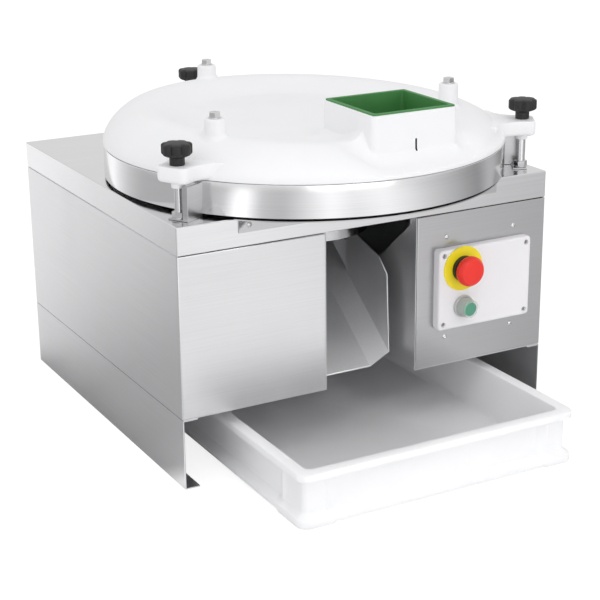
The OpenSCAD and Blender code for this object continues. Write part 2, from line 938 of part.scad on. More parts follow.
module rotor_hub() {
  hub_low = belt_z - pulley_half_w - hub_tail;
  flange_z = plate_z - hub_flange_t;
  color("lightgray") difference() {
    union() {
      translate([0, 0, hub_low]) cylinder(r = hub_r, h = bearing_top - hub_low);
      translate([0, 0, bearing_top]) cylinder(r = hub_shoulder_r, h = flange_z - bearing_top);
      translate([0, 0, flange_z]) cylinder(r = hub_flange_r, h = hub_flange_t);
    }
    translate([0, 0, hub_low - over]) cylinder(r = hub_bore_r, h = plate_z - hub_low + 2 * over);
    plate_screw_places() {
      translate([0, 0, flange_z - over]) cylinder(r = plate_screw_r + fit_gap, h = hub_flange_t + 2 * over);
    }
  }
}

module bearing_inner_race() {
  color("gainsboro") tube(hub_r + race_t, hub_r + fit_gap, bearing_z, bearing_top);
}

module bearing_outer_race() {
  color("gainsboro") tube(bearing_r, bearing_r - race_t, bearing_z, bearing_top);
}

module bearing_balls() {
  color("gainsboro") around(ball_count, ball_circle_r) {
    translate([0, 0, (bearing_z + bearing_top) / 2]) sphere(r = ball_r, $fn = 32);
  }
}

module bearing_housing() {
  seat_r = bearing_r + fit_gap;
  bore_r = bearing_r - housing_step;
  color("silver") difference() {
    union() {
      translate([0, 0, housing_z]) cylinder(r = housing_r, h = cover_z - housing_z);
      translate([0, 0, cover_z - housing_flange_t]) cylinder(r = housing_flange_r, h = housing_flange_t);
    }
    translate([0, 0, housing_z - over]) cylinder(r = bore_r, h = housing_drop + 2 * over);
    translate([0, 0, bearing_z]) cylinder(r = seat_r, h = cover_z - bearing_z + over);
    slab([-window_half, window_y, belt_z - pulley_half_w],
      [window_half, housing_r + over, belt_z + pulley_half_w]);
    around(housing_bolt_count, housing_bolt_circle_r) {
      translate([0, 0, cover_z - housing_flange_t - over]) {
        cylinder(r = housing_bolt_r + fit_gap, h = housing_flange_t + 2 * over);
      }
    }
  }
}

// Low button-head bolts that hold the housing under the cover
module housing_bolts() {
  flange_z = cover_z - housing_flange_t;
  color("gainsboro") around(housing_bolt_count, housing_bolt_circle_r) {
    z_rod(housing_bolt_r, flange_z, casing_h);
    z_rod(housing_head_r, flange_z - housing_head_h, flange_z);
  }
}

// Belt pulley with two flanges around a seat
module pulley(seat_r, bore_r) {
  difference() {
    union() {
      translate([0, 0, belt_z - pulley_half_w]) cylinder(r = seat_r - belt_t / 2, h = 2 * pulley_half_w);
      for (z = [belt_z - pulley_half_w, belt_z + pulley_half_w - pulley_flange]) {
        translate([0, 0, z]) cylinder(r = seat_r + pulley_lip, h = pulley_flange);
      }
    }
    translate([0, 0, belt_z - pulley_half_w - over]) cylinder(r = bore_r, h = 2 * pulley_half_w + 2 * over);
  }
}

module driven_pulley() {
  color("dimgray") {
    pulley(driven_r, hub_r + fit_gap);
    tube(hub_shoulder_r, hub_r + fit_gap, belt_z + pulley_half_w, bearing_z);
  }
}

module motor_pulley() {
  color("dimgray") translate([0, motor_y, 0]) pulley(motor_pulley_r, motor_shaft_r + fit_gap);
}

module motor_shaft() {
  shaft_low = motor_plate_z - gearbox_h / 2;
  color("gainsboro") translate([0, motor_y, shaft_low]) {
    cylinder(r = motor_shaft_r, h = belt_z + pulley_half_w - shaft_low);
  }
}

module belt_outline(grow) {
  hull() {
    circle(r = driven_r + grow);
    translate([0, motor_y]) circle(r = motor_pulley_r + grow);
  }
}

module drive_belt() {
  color("black") translate([0, 0, belt_z - belt_w / 2]) linear_extrude(belt_w) difference() {
    belt_outline(belt_t / 2);
    belt_outline(slide_gap - belt_t / 2);
  }
}

module motor_bolt_places() {
  around(motor_bolt_count, motor_bolt_circle_r, motor_bolt_angle) children();
}

module motor_plate() {
  color("gray") difference() {
    slab([-motor_plate_w / 2, motor_y - motor_plate_d / 2, motor_plate_z],
      [motor_plate_w / 2, motor_y + motor_plate_d / 2, motor_plate_z + motor_plate_t]);
    translate([0, motor_y, motor_plate_z - over]) {
      cylinder(r = motor_shaft_r + over, h = motor_plate_t + 2 * over);
      motor_bolt_places() cylinder(r = motor_bolt_r + fit_gap, h = motor_plate_t + 2 * over);
    }
  }
}

module motor_posts() {
  post_z = motor_plate_z + motor_plate_t;
  color("gray") for (sx = [-1, 1]) {
    for (sy = [-1, 1]) {
      x = sx * (motor_plate_w / 2 - post_in);
      y = motor_y + sy * (motor_plate_d / 2 - post_in);
      translate([x, y, 0]) z_rod(post_r, post_z, cover_z);
    }
  }
}

module gearmotor() {
  gear_z = motor_plate_z - gearbox_h;
  low_z = motor_plate_z - motor_l;
  fin_room = (gear_z - low_z) / motor_fin_count;
  shaft_hole = gearbox_h / 2 + fit_gap;
  color("steelblue") translate([0, motor_y, 0]) difference() {
    union() {
      translate([0, 0, gear_z]) cylinder(r = motor_d / 2, h = gearbox_h);
      translate([0, 0, low_z]) cylinder(r = motor_d / 2 - motor_fin_depth, h = motor_l - gearbox_h);
      for (i = [0 : motor_fin_count - 1]) {
        translate([0, 0, low_z + i * fin_room]) cylinder(r = motor_d / 2, h = motor_fin_t);
      }
    }
    z_rod(motor_shaft_r + fit_gap, motor_plate_z - shaft_hole, motor_plate_z + over);
    motor_bolt_places() z_rod(motor_bolt_r + fit_gap, motor_plate_z - gearbox_h / 2, motor_plate_z + over);
  }
}

module motor_bolts() {
  top_z = motor_plate_z + motor_plate_t;
  color("gainsboro") translate([0, motor_y, 0]) motor_bolt_places() {
    z_rod(motor_bolt_r, motor_plate_z - gearbox_h / 2 + fit_gap, top_z);
    z_rod(2 * motor_bolt_r, top_z, top_z + motor_plate_air - slide_gap);
  }
}

// Controls
module enclosure_block(inset, y0, y1) {
  side = enclosure_in + inset;
  slab([control_x + side, y0, control_z + side],
    [control_x + control_w - side, y1, control_z + control_h - side]);
}

module control_enclosure() {
  flange_y = front_y + sheet;
  color("lightgray") difference() {
    union() {
      enclosure_block(0, front_y, front_y + enclosure_depth);
      slab([control_x + enclosure_in, flange_y, control_z - enclosure_flange_h],
        [control_x + control_w - enclosure_in, flange_y + enclosure_flange_t,
          control_z + control_h + enclosure_flange_h]);
    }
    enclosure_block(control_wall, front_y - over, front_y + enclosure_depth - control_wall);
    panel_screw_places() y_rod(screw_r + fit_gap, 0, 0, front_y, flange_y + enclosure_flange_t + over);
  }
}

module control_screw_places() {
  for (x = [control_screw_in, control_w - control_screw_in]) {
    for (z = [control_screw_in, control_h - control_screw_in]) {
      translate([control_x + x, 0, control_z + z]) children();
    }
  }
}

module control_cover() {
  color("whitesmoke") difference() {
    translate([control_x + control_w / 2, front_y, control_z + control_h / 2]) rotate([90, 0, 0]) {
      linear_extrude(control_proud) round_rect(control_w, control_h, control_round);
    }
    enclosure_block(control_wall, control_y + control_wall, front_y + over);
    y_rod(stop_hole_r, stop_x, stop_z, control_y - over, front_y);
    y_rod(start_hole_r, start_x, start_z, control_y - over, front_y);
    control_screw_places() {
      y_rod(control_screw_head_r + fit_gap, 0, 0, control_y - over, control_y + control_screw_depth);
      y_rod(control_screw_r + fit_gap, 0, 0, control_y, front_y + over);
    }
  }
}

module control_cover_screws() {
  color("gainsboro") control_screw_places() {
    y_rod(control_screw_head_r, 0, 0, control_y + control_screw_depth / 2, control_y + control_screw_depth);
    y_rod(control_screw_r, 0, 0, control_y + control_screw_depth, front_y);
  }
}

module estop_disc() {
  color("gold") difference() {
    y_rod(disc_d / 2, stop_x, stop_z, control_y - disc_t, control_y);
    y_rod(stop_hole_r, stop_x, stop_z, control_y - disc_t - over, control_y + over);
  }
}

module estop_collar() {
  face_y = control_y - disc_t;
  color("black") difference() {
    union() {
      y_rod(collar_r, stop_x, stop_z, face_y - collar_h, face_y);
      y_rod(stop_hole_r - fit_gap, stop_x, stop_z, face_y, control_y + control_wall);
    }
    y_rod(stem_r + fit_gap, stop_x, stop_z, face_y - collar_h - over, control_y + control_wall + over);
  }
}

module estop_stem() {
  stem_y = control_y - disc_t - collar_h - stop_travel;
  color("black") y_rod(stem_r, stop_x, stop_z, stem_y, stem_y + stem_l);
}

module estop_head() {
  head_y = control_y - disc_t - mushroom_gap;
  seat_y = control_y - disc_t - collar_h - stop_travel - fit_gap;
  front = head_y - mushroom_h;
  color("red") difference() {
    union() {
      y_rod(mushroom_d / 2, stop_x, stop_z, front + mushroom_cap, head_y);
      translate([stop_x, front + mushroom_cap, stop_z]) rotate([90, 0, 0]) {
        cylinder(r1 = mushroom_d / 2, r2 = mushroom_d / 2 - mushroom_cap, h = mushroom_cap);
      }
    }
    y_rod(collar_r + slide_gap, stop_x, stop_z, seat_y, head_y + over);
  }
}

module start_bezel() {
  bore_end = control_y + control_wall + over;
  color("gray") difference() {
    union() {
      y_rod(bezel_r, start_x, start_z, control_y - bezel_h, control_y);
      y_rod(start_hole_r - fit_gap, start_x, start_z, control_y, control_y + control_wall);
    }
    y_rod(start_stem_r + fit_gap, start_x, start_z, control_y - bezel_h - over, bore_end);
  }
}

module start_boot() {
  face_y = control_y - bezel_h;
  color("white", 0.5) difference() {
    y_rod(boot_r, start_x, start_z, face_y - boot_h, face_y);
    y_rod(boot_r - boot_wall, start_x, start_z, face_y - boot_h + boot_wall, face_y + over);
  }
}

module start_button() {
  face_y = control_y - bezel_h - boot_h + boot_wall + slide_gap;
  color("green") {
    y_rod(start_d / 2, start_x, start_z, face_y, face_y + start_h);
    y_rod(start_stem_r, start_x, start_z, face_y + start_h, face_y + start_stem_l);
  }
}

// Contact blocks on the enclosure's rear wall, just behind the two stems
module contact_blocks() {
  wall_y = front_y + enclosure_depth - control_wall;
  half = block_w / 2;
  color("lightgray") for (place = [[stop_x, stop_z], [start_x, start_z]]) {
    slab([place[0] - half, wall_y - block_l, place[1] - half], [place[0] + half, wall_y, place[1] + half]);
  }
}

module cable_gland() {
  color("black") translate([gland_x, gland_y, 0]) difference() {
    union() {
      translate([0, 0, skirt_h - gland_l]) hex(gland_flats, gland_l);
      translate([0, 0, skirt_h]) cylinder(r = gland_r, h = sheet + gland_nut_h);
    }
    translate([0, 0, skirt_h - gland_l - over]) cylinder(r = gland_bore_r, h = gland_l + deck_z);
  }
}

module gland_nut() {
  color("black") translate([gland_x, gland_y, deck_z]) difference() {
    hex(gland_flats, gland_nut_h);
    translate([0, 0, -over]) cylinder(r = gland_r + fit_gap, h = gland_nut_h + 2 * over);
  }
}

// Tray: corner posts, rim and base stand out from the panels between them
module tray_body() {
  inner_w = tray_w - 2 * tray_inset;
  inner_l = tray_l - 2 * tray_inset;
  linear_extrude(tray_h) round_rect(inner_w, inner_l, tray_corner_r);
  linear_extrude(tray_base_h) round_rect(tray_w, tray_l, tray_corner_r);
  translate([0, 0, tray_h - tray_rim_h]) linear_extrude(tray_rim_h) {
    round_rect(tray_w, tray_l, tray_corner_r);
  }
  linear_extrude(tray_h) intersection() {
    round_rect(tray_w - 2 * tray_post_in, tray_l - 2 * tray_post_in, tray_corner_r);
    for (sx = [-1, 1]) {
      for (sy = [-1, 1]) {
        translate([sx * (tray_w - tray_post) / 2, sy * (tray_l - tray_post) / 2]) {
          square(tray_post, center = true);
        }
      }
    }
  }
}

module dough_tray() {
  room_w = tray_w - 2 * tray_inset - 2 * tray_wall;
  room_l = tray_l - 2 * tray_inset - 2 * tray_wall;
  color("white") translate([0, tray_front_y + tray_l / 2, 0]) difference() {
    tray_body();
    translate([0, 0, tray_floor]) linear_extrude(tray_h) round_rect(room_w, room_l, tray_corner_r);
    translate([0, 0, -over]) linear_extrude(tray_foot_h + over) {
      square([tray_w - 2 * tray_post, tray_l + over], center = true);
      square([tray_w + over, tray_l - 2 * tray_post], center = true);
    }
  }
}

left_skirt();
right_skirt();
rear_skirt();
base_deck();
left_side_panel();
right_side_panel();
back_panel();
top_cover();
drum_shelf();
left_front_cover();
right_front_panel();
panel_screws();
recess_left_wall();
recess_right_wall();
recess_back_wall();
drop_chute();
bearing_housing();
housing_bolts();
bearing_outer_race();
bearing_balls();
drum_ring();
ring_brackets();
clamp_studs();
stud_nuts();
stud_sleeves();
motor_plate();
motor_posts();
gearmotor();
motor_bolts();
drive_belt();
control_enclosure();
control_cover();
control_cover_screws();
estop_disc();
estop_collar();
contact_blocks();
start_bezel();
start_boot();
cable_gland();
gland_nut();
rotor_plate();
plate_screws();
rotor_hub();
bearing_inner_race();
driven_pulley();
motor_pulley();
motor_shaft();
lid();
hopper_liner();
spiral_guide();
guide_bolts();
knob_front_left();
knob_front_right();
knob_rear();
estop_stem();
estop_head();
start_button();
dough_tray();
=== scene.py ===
# %% [markdown]
# # A worktop dough rounder
# The machine is a folded stainless casing. A plate turns inside a steel ring, under a white moulded
# lid with a square hopper. The solids of every piece arrive as a fixed frame, and this lesson gives
# them their looks: bent sheet edges, moulded plastic, fasteners and finishes.

# %% Load the frame
import json
import math

import bmesh
import bpy
from mathutils import Matrix, Quaternion, Vector


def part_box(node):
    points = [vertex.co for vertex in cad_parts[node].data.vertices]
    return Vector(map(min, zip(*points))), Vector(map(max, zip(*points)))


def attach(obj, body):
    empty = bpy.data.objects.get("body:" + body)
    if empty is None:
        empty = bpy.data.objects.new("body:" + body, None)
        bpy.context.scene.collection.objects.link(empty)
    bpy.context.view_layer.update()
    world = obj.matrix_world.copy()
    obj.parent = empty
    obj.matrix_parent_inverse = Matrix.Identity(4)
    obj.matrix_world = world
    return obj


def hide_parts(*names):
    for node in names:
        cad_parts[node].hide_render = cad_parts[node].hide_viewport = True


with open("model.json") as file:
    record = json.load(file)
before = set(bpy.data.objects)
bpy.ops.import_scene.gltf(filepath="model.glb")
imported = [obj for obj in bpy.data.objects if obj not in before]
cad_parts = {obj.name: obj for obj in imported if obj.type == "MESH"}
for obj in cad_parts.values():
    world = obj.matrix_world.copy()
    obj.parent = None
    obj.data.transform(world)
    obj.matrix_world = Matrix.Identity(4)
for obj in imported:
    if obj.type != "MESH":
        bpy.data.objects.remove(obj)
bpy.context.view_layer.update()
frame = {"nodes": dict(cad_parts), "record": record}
nodes = frame["nodes"]
scene = bpy.context.scene
MM = 0.001

# %% [markdown]
# ## Camera
# The picture was taken with a long lens, from the left and a little above the lid. A camera is easiest
# to place by the direction that it looks back along, which two angles give, and a slight roll.

# %% Camera
IMAGE_PX = 600
FOCAL_PX = 1543.8
YAW = math.radians(-28.65)
PITCH = math.radians(18.74)
ROLL = math.radians(-0.58)
EYE = Vector((-0.9779, -1.7741, 0.8381))
back_along = Vector((math.sin(YAW) * math.cos(PITCH), -math.cos(YAW) * math.cos(PITCH), math.sin(PITCH)))
lens = bpy.data.cameras.new("camera")
lens.sensor_width = 36
lens.lens = FOCAL_PX / IMAGE_PX * lens.sensor_width
camera = bpy.data.objects.new("camera", lens)
camera.location = EYE
camera.rotation_mode = "QUATERNION"
camera.rotation_quaternion = (-back_along).to_track_quat("-Z", "Y") @ Quaternion((0, 0, 1), ROLL)
scene.collection.objects.link(camera)
scene.camera = camera
print("camera:", round(lens.lens, 1), "mm lens")

# %% [markdown]
# ## Sums on sockets
# A finish is a small sum of noise patterns. Node by node that is long to write, so a wire wraps one
# output socket, and plain Python operators between wires add the Math nodes.


# %% A wire between shader nodes
class Wire:
    """One output socket of a node tree, ready for sums written in Python."""

    def __init__(self, tree, socket):
        self.tree = tree
        self.socket = socket

    def node(self, kind, settings, inputs, out=0):
        """Adds a node, sets it up, feeds its sockets and returns the wire of one of its outputs."""
        made = self.tree.nodes.new(kind)
        for name, value in settings.items():
            if name == "stops":
                for i, (place, shade) in enumerate(value):
                    stop = made.color_ramp.elements[i] if i < 2 else made.color_ramp.elements.new(place)
                    stop.position = place
                    stop.color = (shade, shade, shade, 1)
            else:
                setattr(made, name, value)
        for key, value in inputs.items():
            if isinstance(value, Wire):
                self.tree.links.new(value.socket, made.inputs[key])
            else:
                made.inputs[key].default_value = value
        return Wire(self.tree, made.outputs[out])

    def math(self, operation, first, second=0.0):
        return self.node("ShaderNodeMath", {"operation": operation}, {0: first, 1: second})

    def __add__(self, other):
        return self.math("ADD", self, other)

    def __radd__(self, other):
        return self.math("ADD", other, self)

    def __sub__(self, other):
        return self.math("SUBTRACT", self, other)

    def __rsub__(self, other):
        return self.math("SUBTRACT", other, self)

    def __mul__(self, other):
        return self.math("MULTIPLY", self, other)

    def __rmul__(self, other):
        return self.math("MULTIPLY", other, self)

    def stretched(self, x, y, z):
        """These coordinates, with each axis counted this many times a metre."""
        return self.node("ShaderNodeMapping", {}, {"Vector": self, "Scale": (x, y, z)})

    def noise(self, scale, detail=2.0):
        return self.node("ShaderNodeTexNoise", {}, {"Vector": self, "Scale": scale, "Detail": detail})

    def clamped(self, low, high):
        """This value, counted from 0 at low to 1 at high."""
        return self.node("ShaderNodeMapRange", {}, {"Value": self, "From Min": low, "From Max": high})

    def blend(self, first, second):
        """A colour that runs from first to second as this value goes from 0 to 1."""
        colours = {0: self, 6: (*first, 1), 7: (*second, 1)}
        return self.node("ShaderNodeMix", {"data_type": "RGBA"}, colours, out=2)

    def bump(self, strength, depth):
        return self.node("ShaderNodeBump", {}, {"Height": self, "Strength": strength, "Distance": depth})

    def feed(self, shader, name):
        self.tree.links.new(self.socket, shader.inputs[name])


def start_finish(name, **fixed):
    """A new material with these fixed values, its shader and the wire of its object coordinates."""
    made = bpy.data.materials.new(name)
    made.use_nodes = True
    shader = made.node_tree.nodes["Principled BSDF"]
    for socket, value in fixed.items():
        shader.inputs[socket.replace("_", " ")].default_value = value
    places = made.node_tree.nodes.new("ShaderNodeTexCoord")
    return made, shader, Wire(made.node_tree, places.outputs["Object"])


def shade(colour, factor):
    return tuple(min(1.0, c * factor) for c in colour)


print("wires ready")

# %% [markdown]
# ## Brushed and polished steel
# Stainless sheet is ground with a belt, which leaves fine lines along the belt's path. The lines are
# noise that is stretched thin along the grain. It moves the roughness and the colour a little, and a
# broad, faint cloud stands for the wiping marks that every steel front shows.

# %% Steel finishes
NOISE_SPAN = (0.3, 0.7)
CLOUDS = 4.5
MARKS, MARK_SPAN = (9, 9, 14), (0.52, 0.75)
GRAIN_SHARE = 0.6
DULL, BRIGHT = 0.95, 1.04
MARK_WEAR, CLOUD_WEAR = 0.05, 0.08
GRAIN_DEPTH = 0.05 * MM


def brushed(name, grain, colour, rough, streaks=0.08, bump=0.04):
    """Steel whose grain lines are counted by the three numbers of grain, lines to the metre."""
    made, shader, places = start_finish(name, Metallic=1.0)
    lines = places.stretched(*grain).noise(1.0, 3.0)
    cloud = places.noise(CLOUDS)
    marks = places.stretched(*MARKS).noise(1.0, 4.0).clamped(*MARK_SPAN)
    tone = (lines * GRAIN_SHARE + cloud * (1 - GRAIN_SHARE)).clamped(*NOISE_SPAN)
    tone.blend(shade(colour, DULL), shade(colour, BRIGHT)).feed(shader, "Base Color")
    wear = marks * MARK_WEAR + (lines - 0.5) * streaks + (cloud - 0.5) * CLOUD_WEAR + rough
    wear.feed(shader, "Roughness")
    lines.bump(bump, GRAIN_DEPTH).feed(shader, "Normal")
    return made


STEEL = (0.78, 0.78, 0.79)
steels = {
    "sheet_steel": ((7, 7, 900), STEEL, 0.31, 0.05, 0.02),
    # painted shade: a darker copy of the sheet steel, for the right front panel, the shelf and the brackets
    "shade_painted_steel": ((7, 7, 900), (0.60, 0.60, 0.61), 0.31, 0.06, 0.02),
    # painted light: a lighter copy of the steel, ground upright, that lifts the shaded recess walls
    "upright_light_painted_steel": ((800, 800, 8), (0.84, 0.84, 0.85), 0.46),
    # painted light: a lighter copy of the steel that brightens the chute in the shaded recess
    "chute_light_painted_steel": ((600, 600, 9), (0.88, 0.88, 0.89), 0.50),
    "top_steel": ((6, 500, 500), STEEL, 0.17, 0.05, 0.02),
    # painted reflection: the ring's steel is lighter than the sheet so its reflections read brighter
    "ring_steel": ((3, 3, 1300), (0.85, 0.85, 0.86), 0.17, 0.08, 0.03),
    # painted shade: darker than the fastener steel; the studs and nuts take it as shade under the lugs
    "turned_steel": ((5, 5, 1500), (0.62, 0.62, 0.63), 0.24, 0.10),
    "dark_steel": ((7, 7, 700), (0.42, 0.42, 0.44), 0.38),
    "plate_alloy": ((40, 40, 40), (0.74, 0.75, 0.76), 0.32),
    "fastener_steel": ((60, 60, 600), (0.74, 0.74, 0.74), 0.22, 0.06),
    "bearing_steel": ((30, 30, 30), (0.75, 0.75, 0.76), 0.12),
}
finishes = {name: brushed(name, *recipe) for name, recipe in steels.items()}
print("metal finishes:", len(finishes))

# %% [markdown]
# ## Plastics, paint and rubber
# Moulded plastic is one colour with a faint cloud in it, a skin that is a little uneven, and fine
# pores. The tray's white polyethylene also lets light in, so its shadows stay pale.

# %% Plastic finishes
MOTTLES = 14.0
PORE_BUMP = 0.25
PORE_WEAR, MOTTLE_WEAR = 0.10, 0.08


def moulded(name, colour, rough, pores, depth, cloud=0.03, **fixed):
    """Plastic with so many pores to the metre, pressed this many millimetres deep."""
    made, shader, places = start_finish(name, **fixed)
    mottle = places.noise(MOTTLES, 3.0)
    pitted = places.noise(pores)
    darker, lighter = shade(colour, 1 - cloud), shade(colour, 1 + cloud)
    mottle.clamped(*NOISE_SPAN).blend(darker, lighter).feed(shader, "Base Color")
    even = rough - (PORE_WEAR + MOTTLE_WEAR) / 2
    (pitted * PORE_WEAR + mottle * MOTTLE_WEAR + even).feed(shader, "Roughness")
    pitted.bump(PORE_BUMP, depth * MM).feed(shader, "Normal")
    return made


plastics = {
    "lid_white": ((0.90, 0.90, 0.905), 0.42, 300, 0.10, 0.012),
    "tray_white": ((0.93, 0.93, 0.94), 0.38, 260, 0.10, 0.012),
    "liner_green": ((0.06, 0.25, 0.065), 0.55, 900, 0.15, 0.10),
    "control_white": ((0.86, 0.845, 0.86), 0.5, 1500, 0.08, 0.012),
    "enclosure_grey": ((0.55, 0.55, 0.56), 0.5, 1200, 0.1),
    "disc_yellow": ((0.93, 0.77, 0.008), 0.42, 1800, 0.03, 0.02),
    "stop_red": ((0.88, 0.022, 0.010), 0.34, 900, 0.02, 0.04),
    "black_plastic": ((0.018, 0.018, 0.019), 0.45, 1500, 0.05, 0.15),
    "knob_black": ((0.014, 0.014, 0.015), 0.5, 1400, 0.12, 0.2),
    "pulley_black": ((0.05, 0.05, 0.05), 0.4, 700, 0.05, 0.1),
    "bezel_grey": ((0.50, 0.51, 0.50), 0.42, 1500, 0.04),
    "start_green": ((0.012, 0.27, 0.15), 0.35, 1200, 0.03, 0.05),
    "boot_clear": ((0.86, 0.90, 0.86), 0.30, 1100, 0.05, 0.02),
    "motor_paint": ((0.12, 0.17, 0.23), 0.4, 500, 0.1, 0.06),
    "belt_rubber": ((0.02, 0.02, 0.02), 0.7, 900, 0.15, 0.1),
}
more = {
    "tray_white": {"Subsurface_Weight": 0.30, "Subsurface_Radius": (0.02, 0.02, 0.02),
                   "Subsurface_Scale": 0.5},
    "stop_red": {"Coat_Weight": 0.12, "Coat_Roughness": 0.15},
    "pulley_black": {"Metallic": 0.6},
}
for name, recipe in plastics.items():
    finishes[name] = moulded(name, *recipe, **more.get(name, {}))
print("finishes:", len(finishes))

# %% [markdown]
# ## Finishes for the solids
# Each solid keeps its own shape and takes the finish of the slot that its record names. Some take one
# of their own: the walls of the recess are ground upright, the top is shinier than the sides, and the
# chute is brushed its own way. The recess walls and the chute are lighter copies of the steel, painted
# light in the shaded recess; the right front panel, the shelf, the brackets, the studs and their nuts
# are darker copies, painted shade.

# %% Give every solid its finish
slot_of = {piece["node"]: piece["material_slot"] for piece in frame["record"]["subparts"]}
finishes["plate_aluminium"] = finishes["plate_alloy"]
own_finish = {
    # Lighter and darker copies of one steel here are painted light and painted shade.
    "top_cover": "top_steel", "right_front_panel": "shade_painted_steel", "drum_shelf": "shade_painted_steel",
    "ring_brackets": "shade_painted_steel", "recess_left_wall": "upright_light_painted_steel",
    "recess_right_wall": "upright_light_painted_steel", "recess_back_wall": "upright_light_painted_steel",
    "drop_chute": "chute_light_painted_steel", "motor_plate": "dark_steel", "motor_posts": "dark_steel",
    "control_cover_screws": "dark_steel", "clamp_studs": "turned_steel", "stud_nuts": "turned_steel",
}
finish_of = {name: finishes[own_finish.get(name, slot_of[name])] for name in nodes}
body_of = {name: body for body, held in frame["record"]["behaviour"]["bodies"].items() for name in held}
for name, solid in nodes.items():
    solid.data.materials.clear()
    solid.data.materials.append(finish_of[name])
print("solids finished:", len(nodes))

# %% [markdown]
# ## Making pieces
# A new piece is a mesh whose place is in its points. It takes a finish, rides on the same body as the
# solid that it stands for, and hides that solid. Smooth faces meet at a crease wherever they turn by
# more than the crease angle.

# %% Helpers for new pieces
CREASE = math.radians(32)
CLOSE = 0.001 * MM


def piece(name, mesh, node):
    """Puts a mesh in the scene as the piece that stands for a solid."""
    made = bpy.data.objects.new(name, mesh)
    scene.collection.objects.link(made)
    mesh.materials.clear()
    mesh.materials.append(finish_of[node])
    mesh.shade_smooth()
    mesh.set_sharp_from_angle(angle=CREASE)
    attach(made, body_of[node])
    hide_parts(node)
    return made


def to_mesh(bm, name):
    """Closes the building mesh, with its faces turned outwards."""
    bmesh.ops.remove_doubles(bm, verts=bm.verts, dist=CLOSE)
    bmesh.ops.recalc_face_normals(bm, faces=bm.faces)
    mesh = bpy.data.meshes.new(name)
    bm.to_mesh(mesh)
    bm.free()
    return mesh


def built(name, bm, node):
    """The piece that a building mesh makes."""
    return piece(name, to_mesh(bm, name), node)


def skin(bm, loops, cap_first=False, cap_last=False):
    """Lays a skin over closed loops of points that all have the same count."""
    rows = [[bm.verts.new(p) for p in loop] for loop in loops]
    count = len(rows[0])
    for low, high in zip(rows, rows[1:]):
        for i in range(count):
            j = (i + 1) % count
            bm.faces.new((low[i], low[j], high[j], high[i]))
    if cap_first:
        bm.faces.new(rows[0][::-1])
    if cap_last:
        bm.faces.new(rows[-1])
    return rows


def circle(radius, z, count):
    """A level loop of points round the axis."""
    turns = [2 * math.pi * i / count for i in range(count)]
    return [Vector((radius * math.cos(a), radius * math.sin(a), z)) for a in turns]


def turned(bm, profile, count, place=Matrix(), closed=False):
    """A turned shape: a profile of radius and height, spun round the axis, then put in place."""
    loops = [[place @ p for p in circle(r, z, count)] for r, z in profile]
    if closed:
        loops.append(loops[0])
    skin(bm, loops, cap_first=not closed, cap_last=not closed)


def facing_front(x, z):
    """The place of a shape that is spun round an axis pointing out of the front."""
    return Matrix.Translation((x, 0, z)) @ Matrix.Rotation(math.pi / 2, 4, "X")


print("helpers ready")

# %% [markdown]
# ## Bent sheet edges
# A folded sheet has a bend, not a knife edge, and the bend catches a bright line of light. Each sheet
# is a copy of its solid: the loose triangles are merged, flat ones are joined, and the chosen edges
# are bevelled. On the sides only the upright corners are bent, so the level seams stay crisp, and the
# right front panel is brought down to the deck. Weighted normals keep the flats flat beside the bends.

# %% Soften the folds of the sheets
CAD_CLOSE = 0.01 * MM
CAD_FLAT = math.radians(0.5)
FOOT = 2 * MM
SHORT = 4 * MM
UPRIGHT = 0.9


def softened(node, bend, chosen, segments=4, drop=0.0):
    """Makes a copy of a solid whose chosen edges are rounded to the bend; drop lowers its foot."""
    bm = bmesh.new()
    bm.from_mesh(nodes[node].data)
    bmesh.ops.remove_doubles(bm, verts=bm.verts, dist=CAD_CLOSE)
    bmesh.ops.dissolve_limit(bm, angle_limit=CAD_FLAT, verts=bm.verts, edges=bm.edges)
    low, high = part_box(node)
    for foot in [v for v in bm.verts if v.co.z < low.z + FOOT]:
        foot.co.z -= drop
    low = low - Vector((0, 0, drop))
    edges = [e for e in bm.edges if len(e.link_faces) == 2 and chosen(e, low, high)]
    bmesh.ops.bevel(bm, geom=edges, offset=bend, segments=segments, profile=0.5, affect="EDGES",
                    clamp_overlap=True)
    flat = built(node + "_sheet", bm, node).modifiers.new("flats", "WEIGHTED_NORMAL")
    flat.keep_sharp = True
    print(node, "rounded edges:", len(edges))


def sharp(edge, degrees=30):
    return edge.calc_face_angle(0) > math.radians(degrees)


def on_box_edge(edge, low, high, reach=0.3 * MM):
    """True for a sharp edge that runs along two of the box's outer faces."""
    middle = (edge.verts[0].co + edge.verts[1].co) / 2
    touching = sum(1 for i in range(3) if min(middle[i] - low[i], high[i] - middle[i]) < reach)
    return touching >= 2 and sharp(edge) and edge.calc_length() > SHORT


def on_corner(edge, low, high):
    """True for a box edge that stands upright."""
    along = (edge.verts[0].co - edge.verts[1].co).normalized()
    return abs(along.z) > UPRIGHT and on_box_edge(edge, low, high)


BEND = 2.4 * MM
DECK_GAP = 0.1 * MM
panel_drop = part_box("right_front_panel")[0].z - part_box("base_deck")[1].z - DECK_GAP
for node in ("top_cover", "left_front_cover", "right_front_panel", "drum_shelf"):
    softened(node, BEND, on_box_edge, drop=panel_drop if node == "right_front_panel" else 0)
for node in ("left_side_panel", "right_side_panel", "left_skirt", "right_skirt"):
    softened(node, BEND, on_corner)

# %% Soften the thin edges of the other sheets
RUB = 0.5 * MM
FOLD, FOLD_LONG = 1.2 * MM, 60 * MM
FLATTISH, SQUARE = 5, 60


def on_rim(edge, low, high):
    """True for a square edge that handling has rubbed down."""
    return sharp(edge, SQUARE) and edge.calc_length() > SHORT


def on_fold(edge, low, high):
    """True for a long edge where the chute's sheet is folded."""
    turn = math.degrees(edge.calc_face_angle(0))
    return FLATTISH < turn < SQUARE and edge.calc_length() > FOLD_LONG


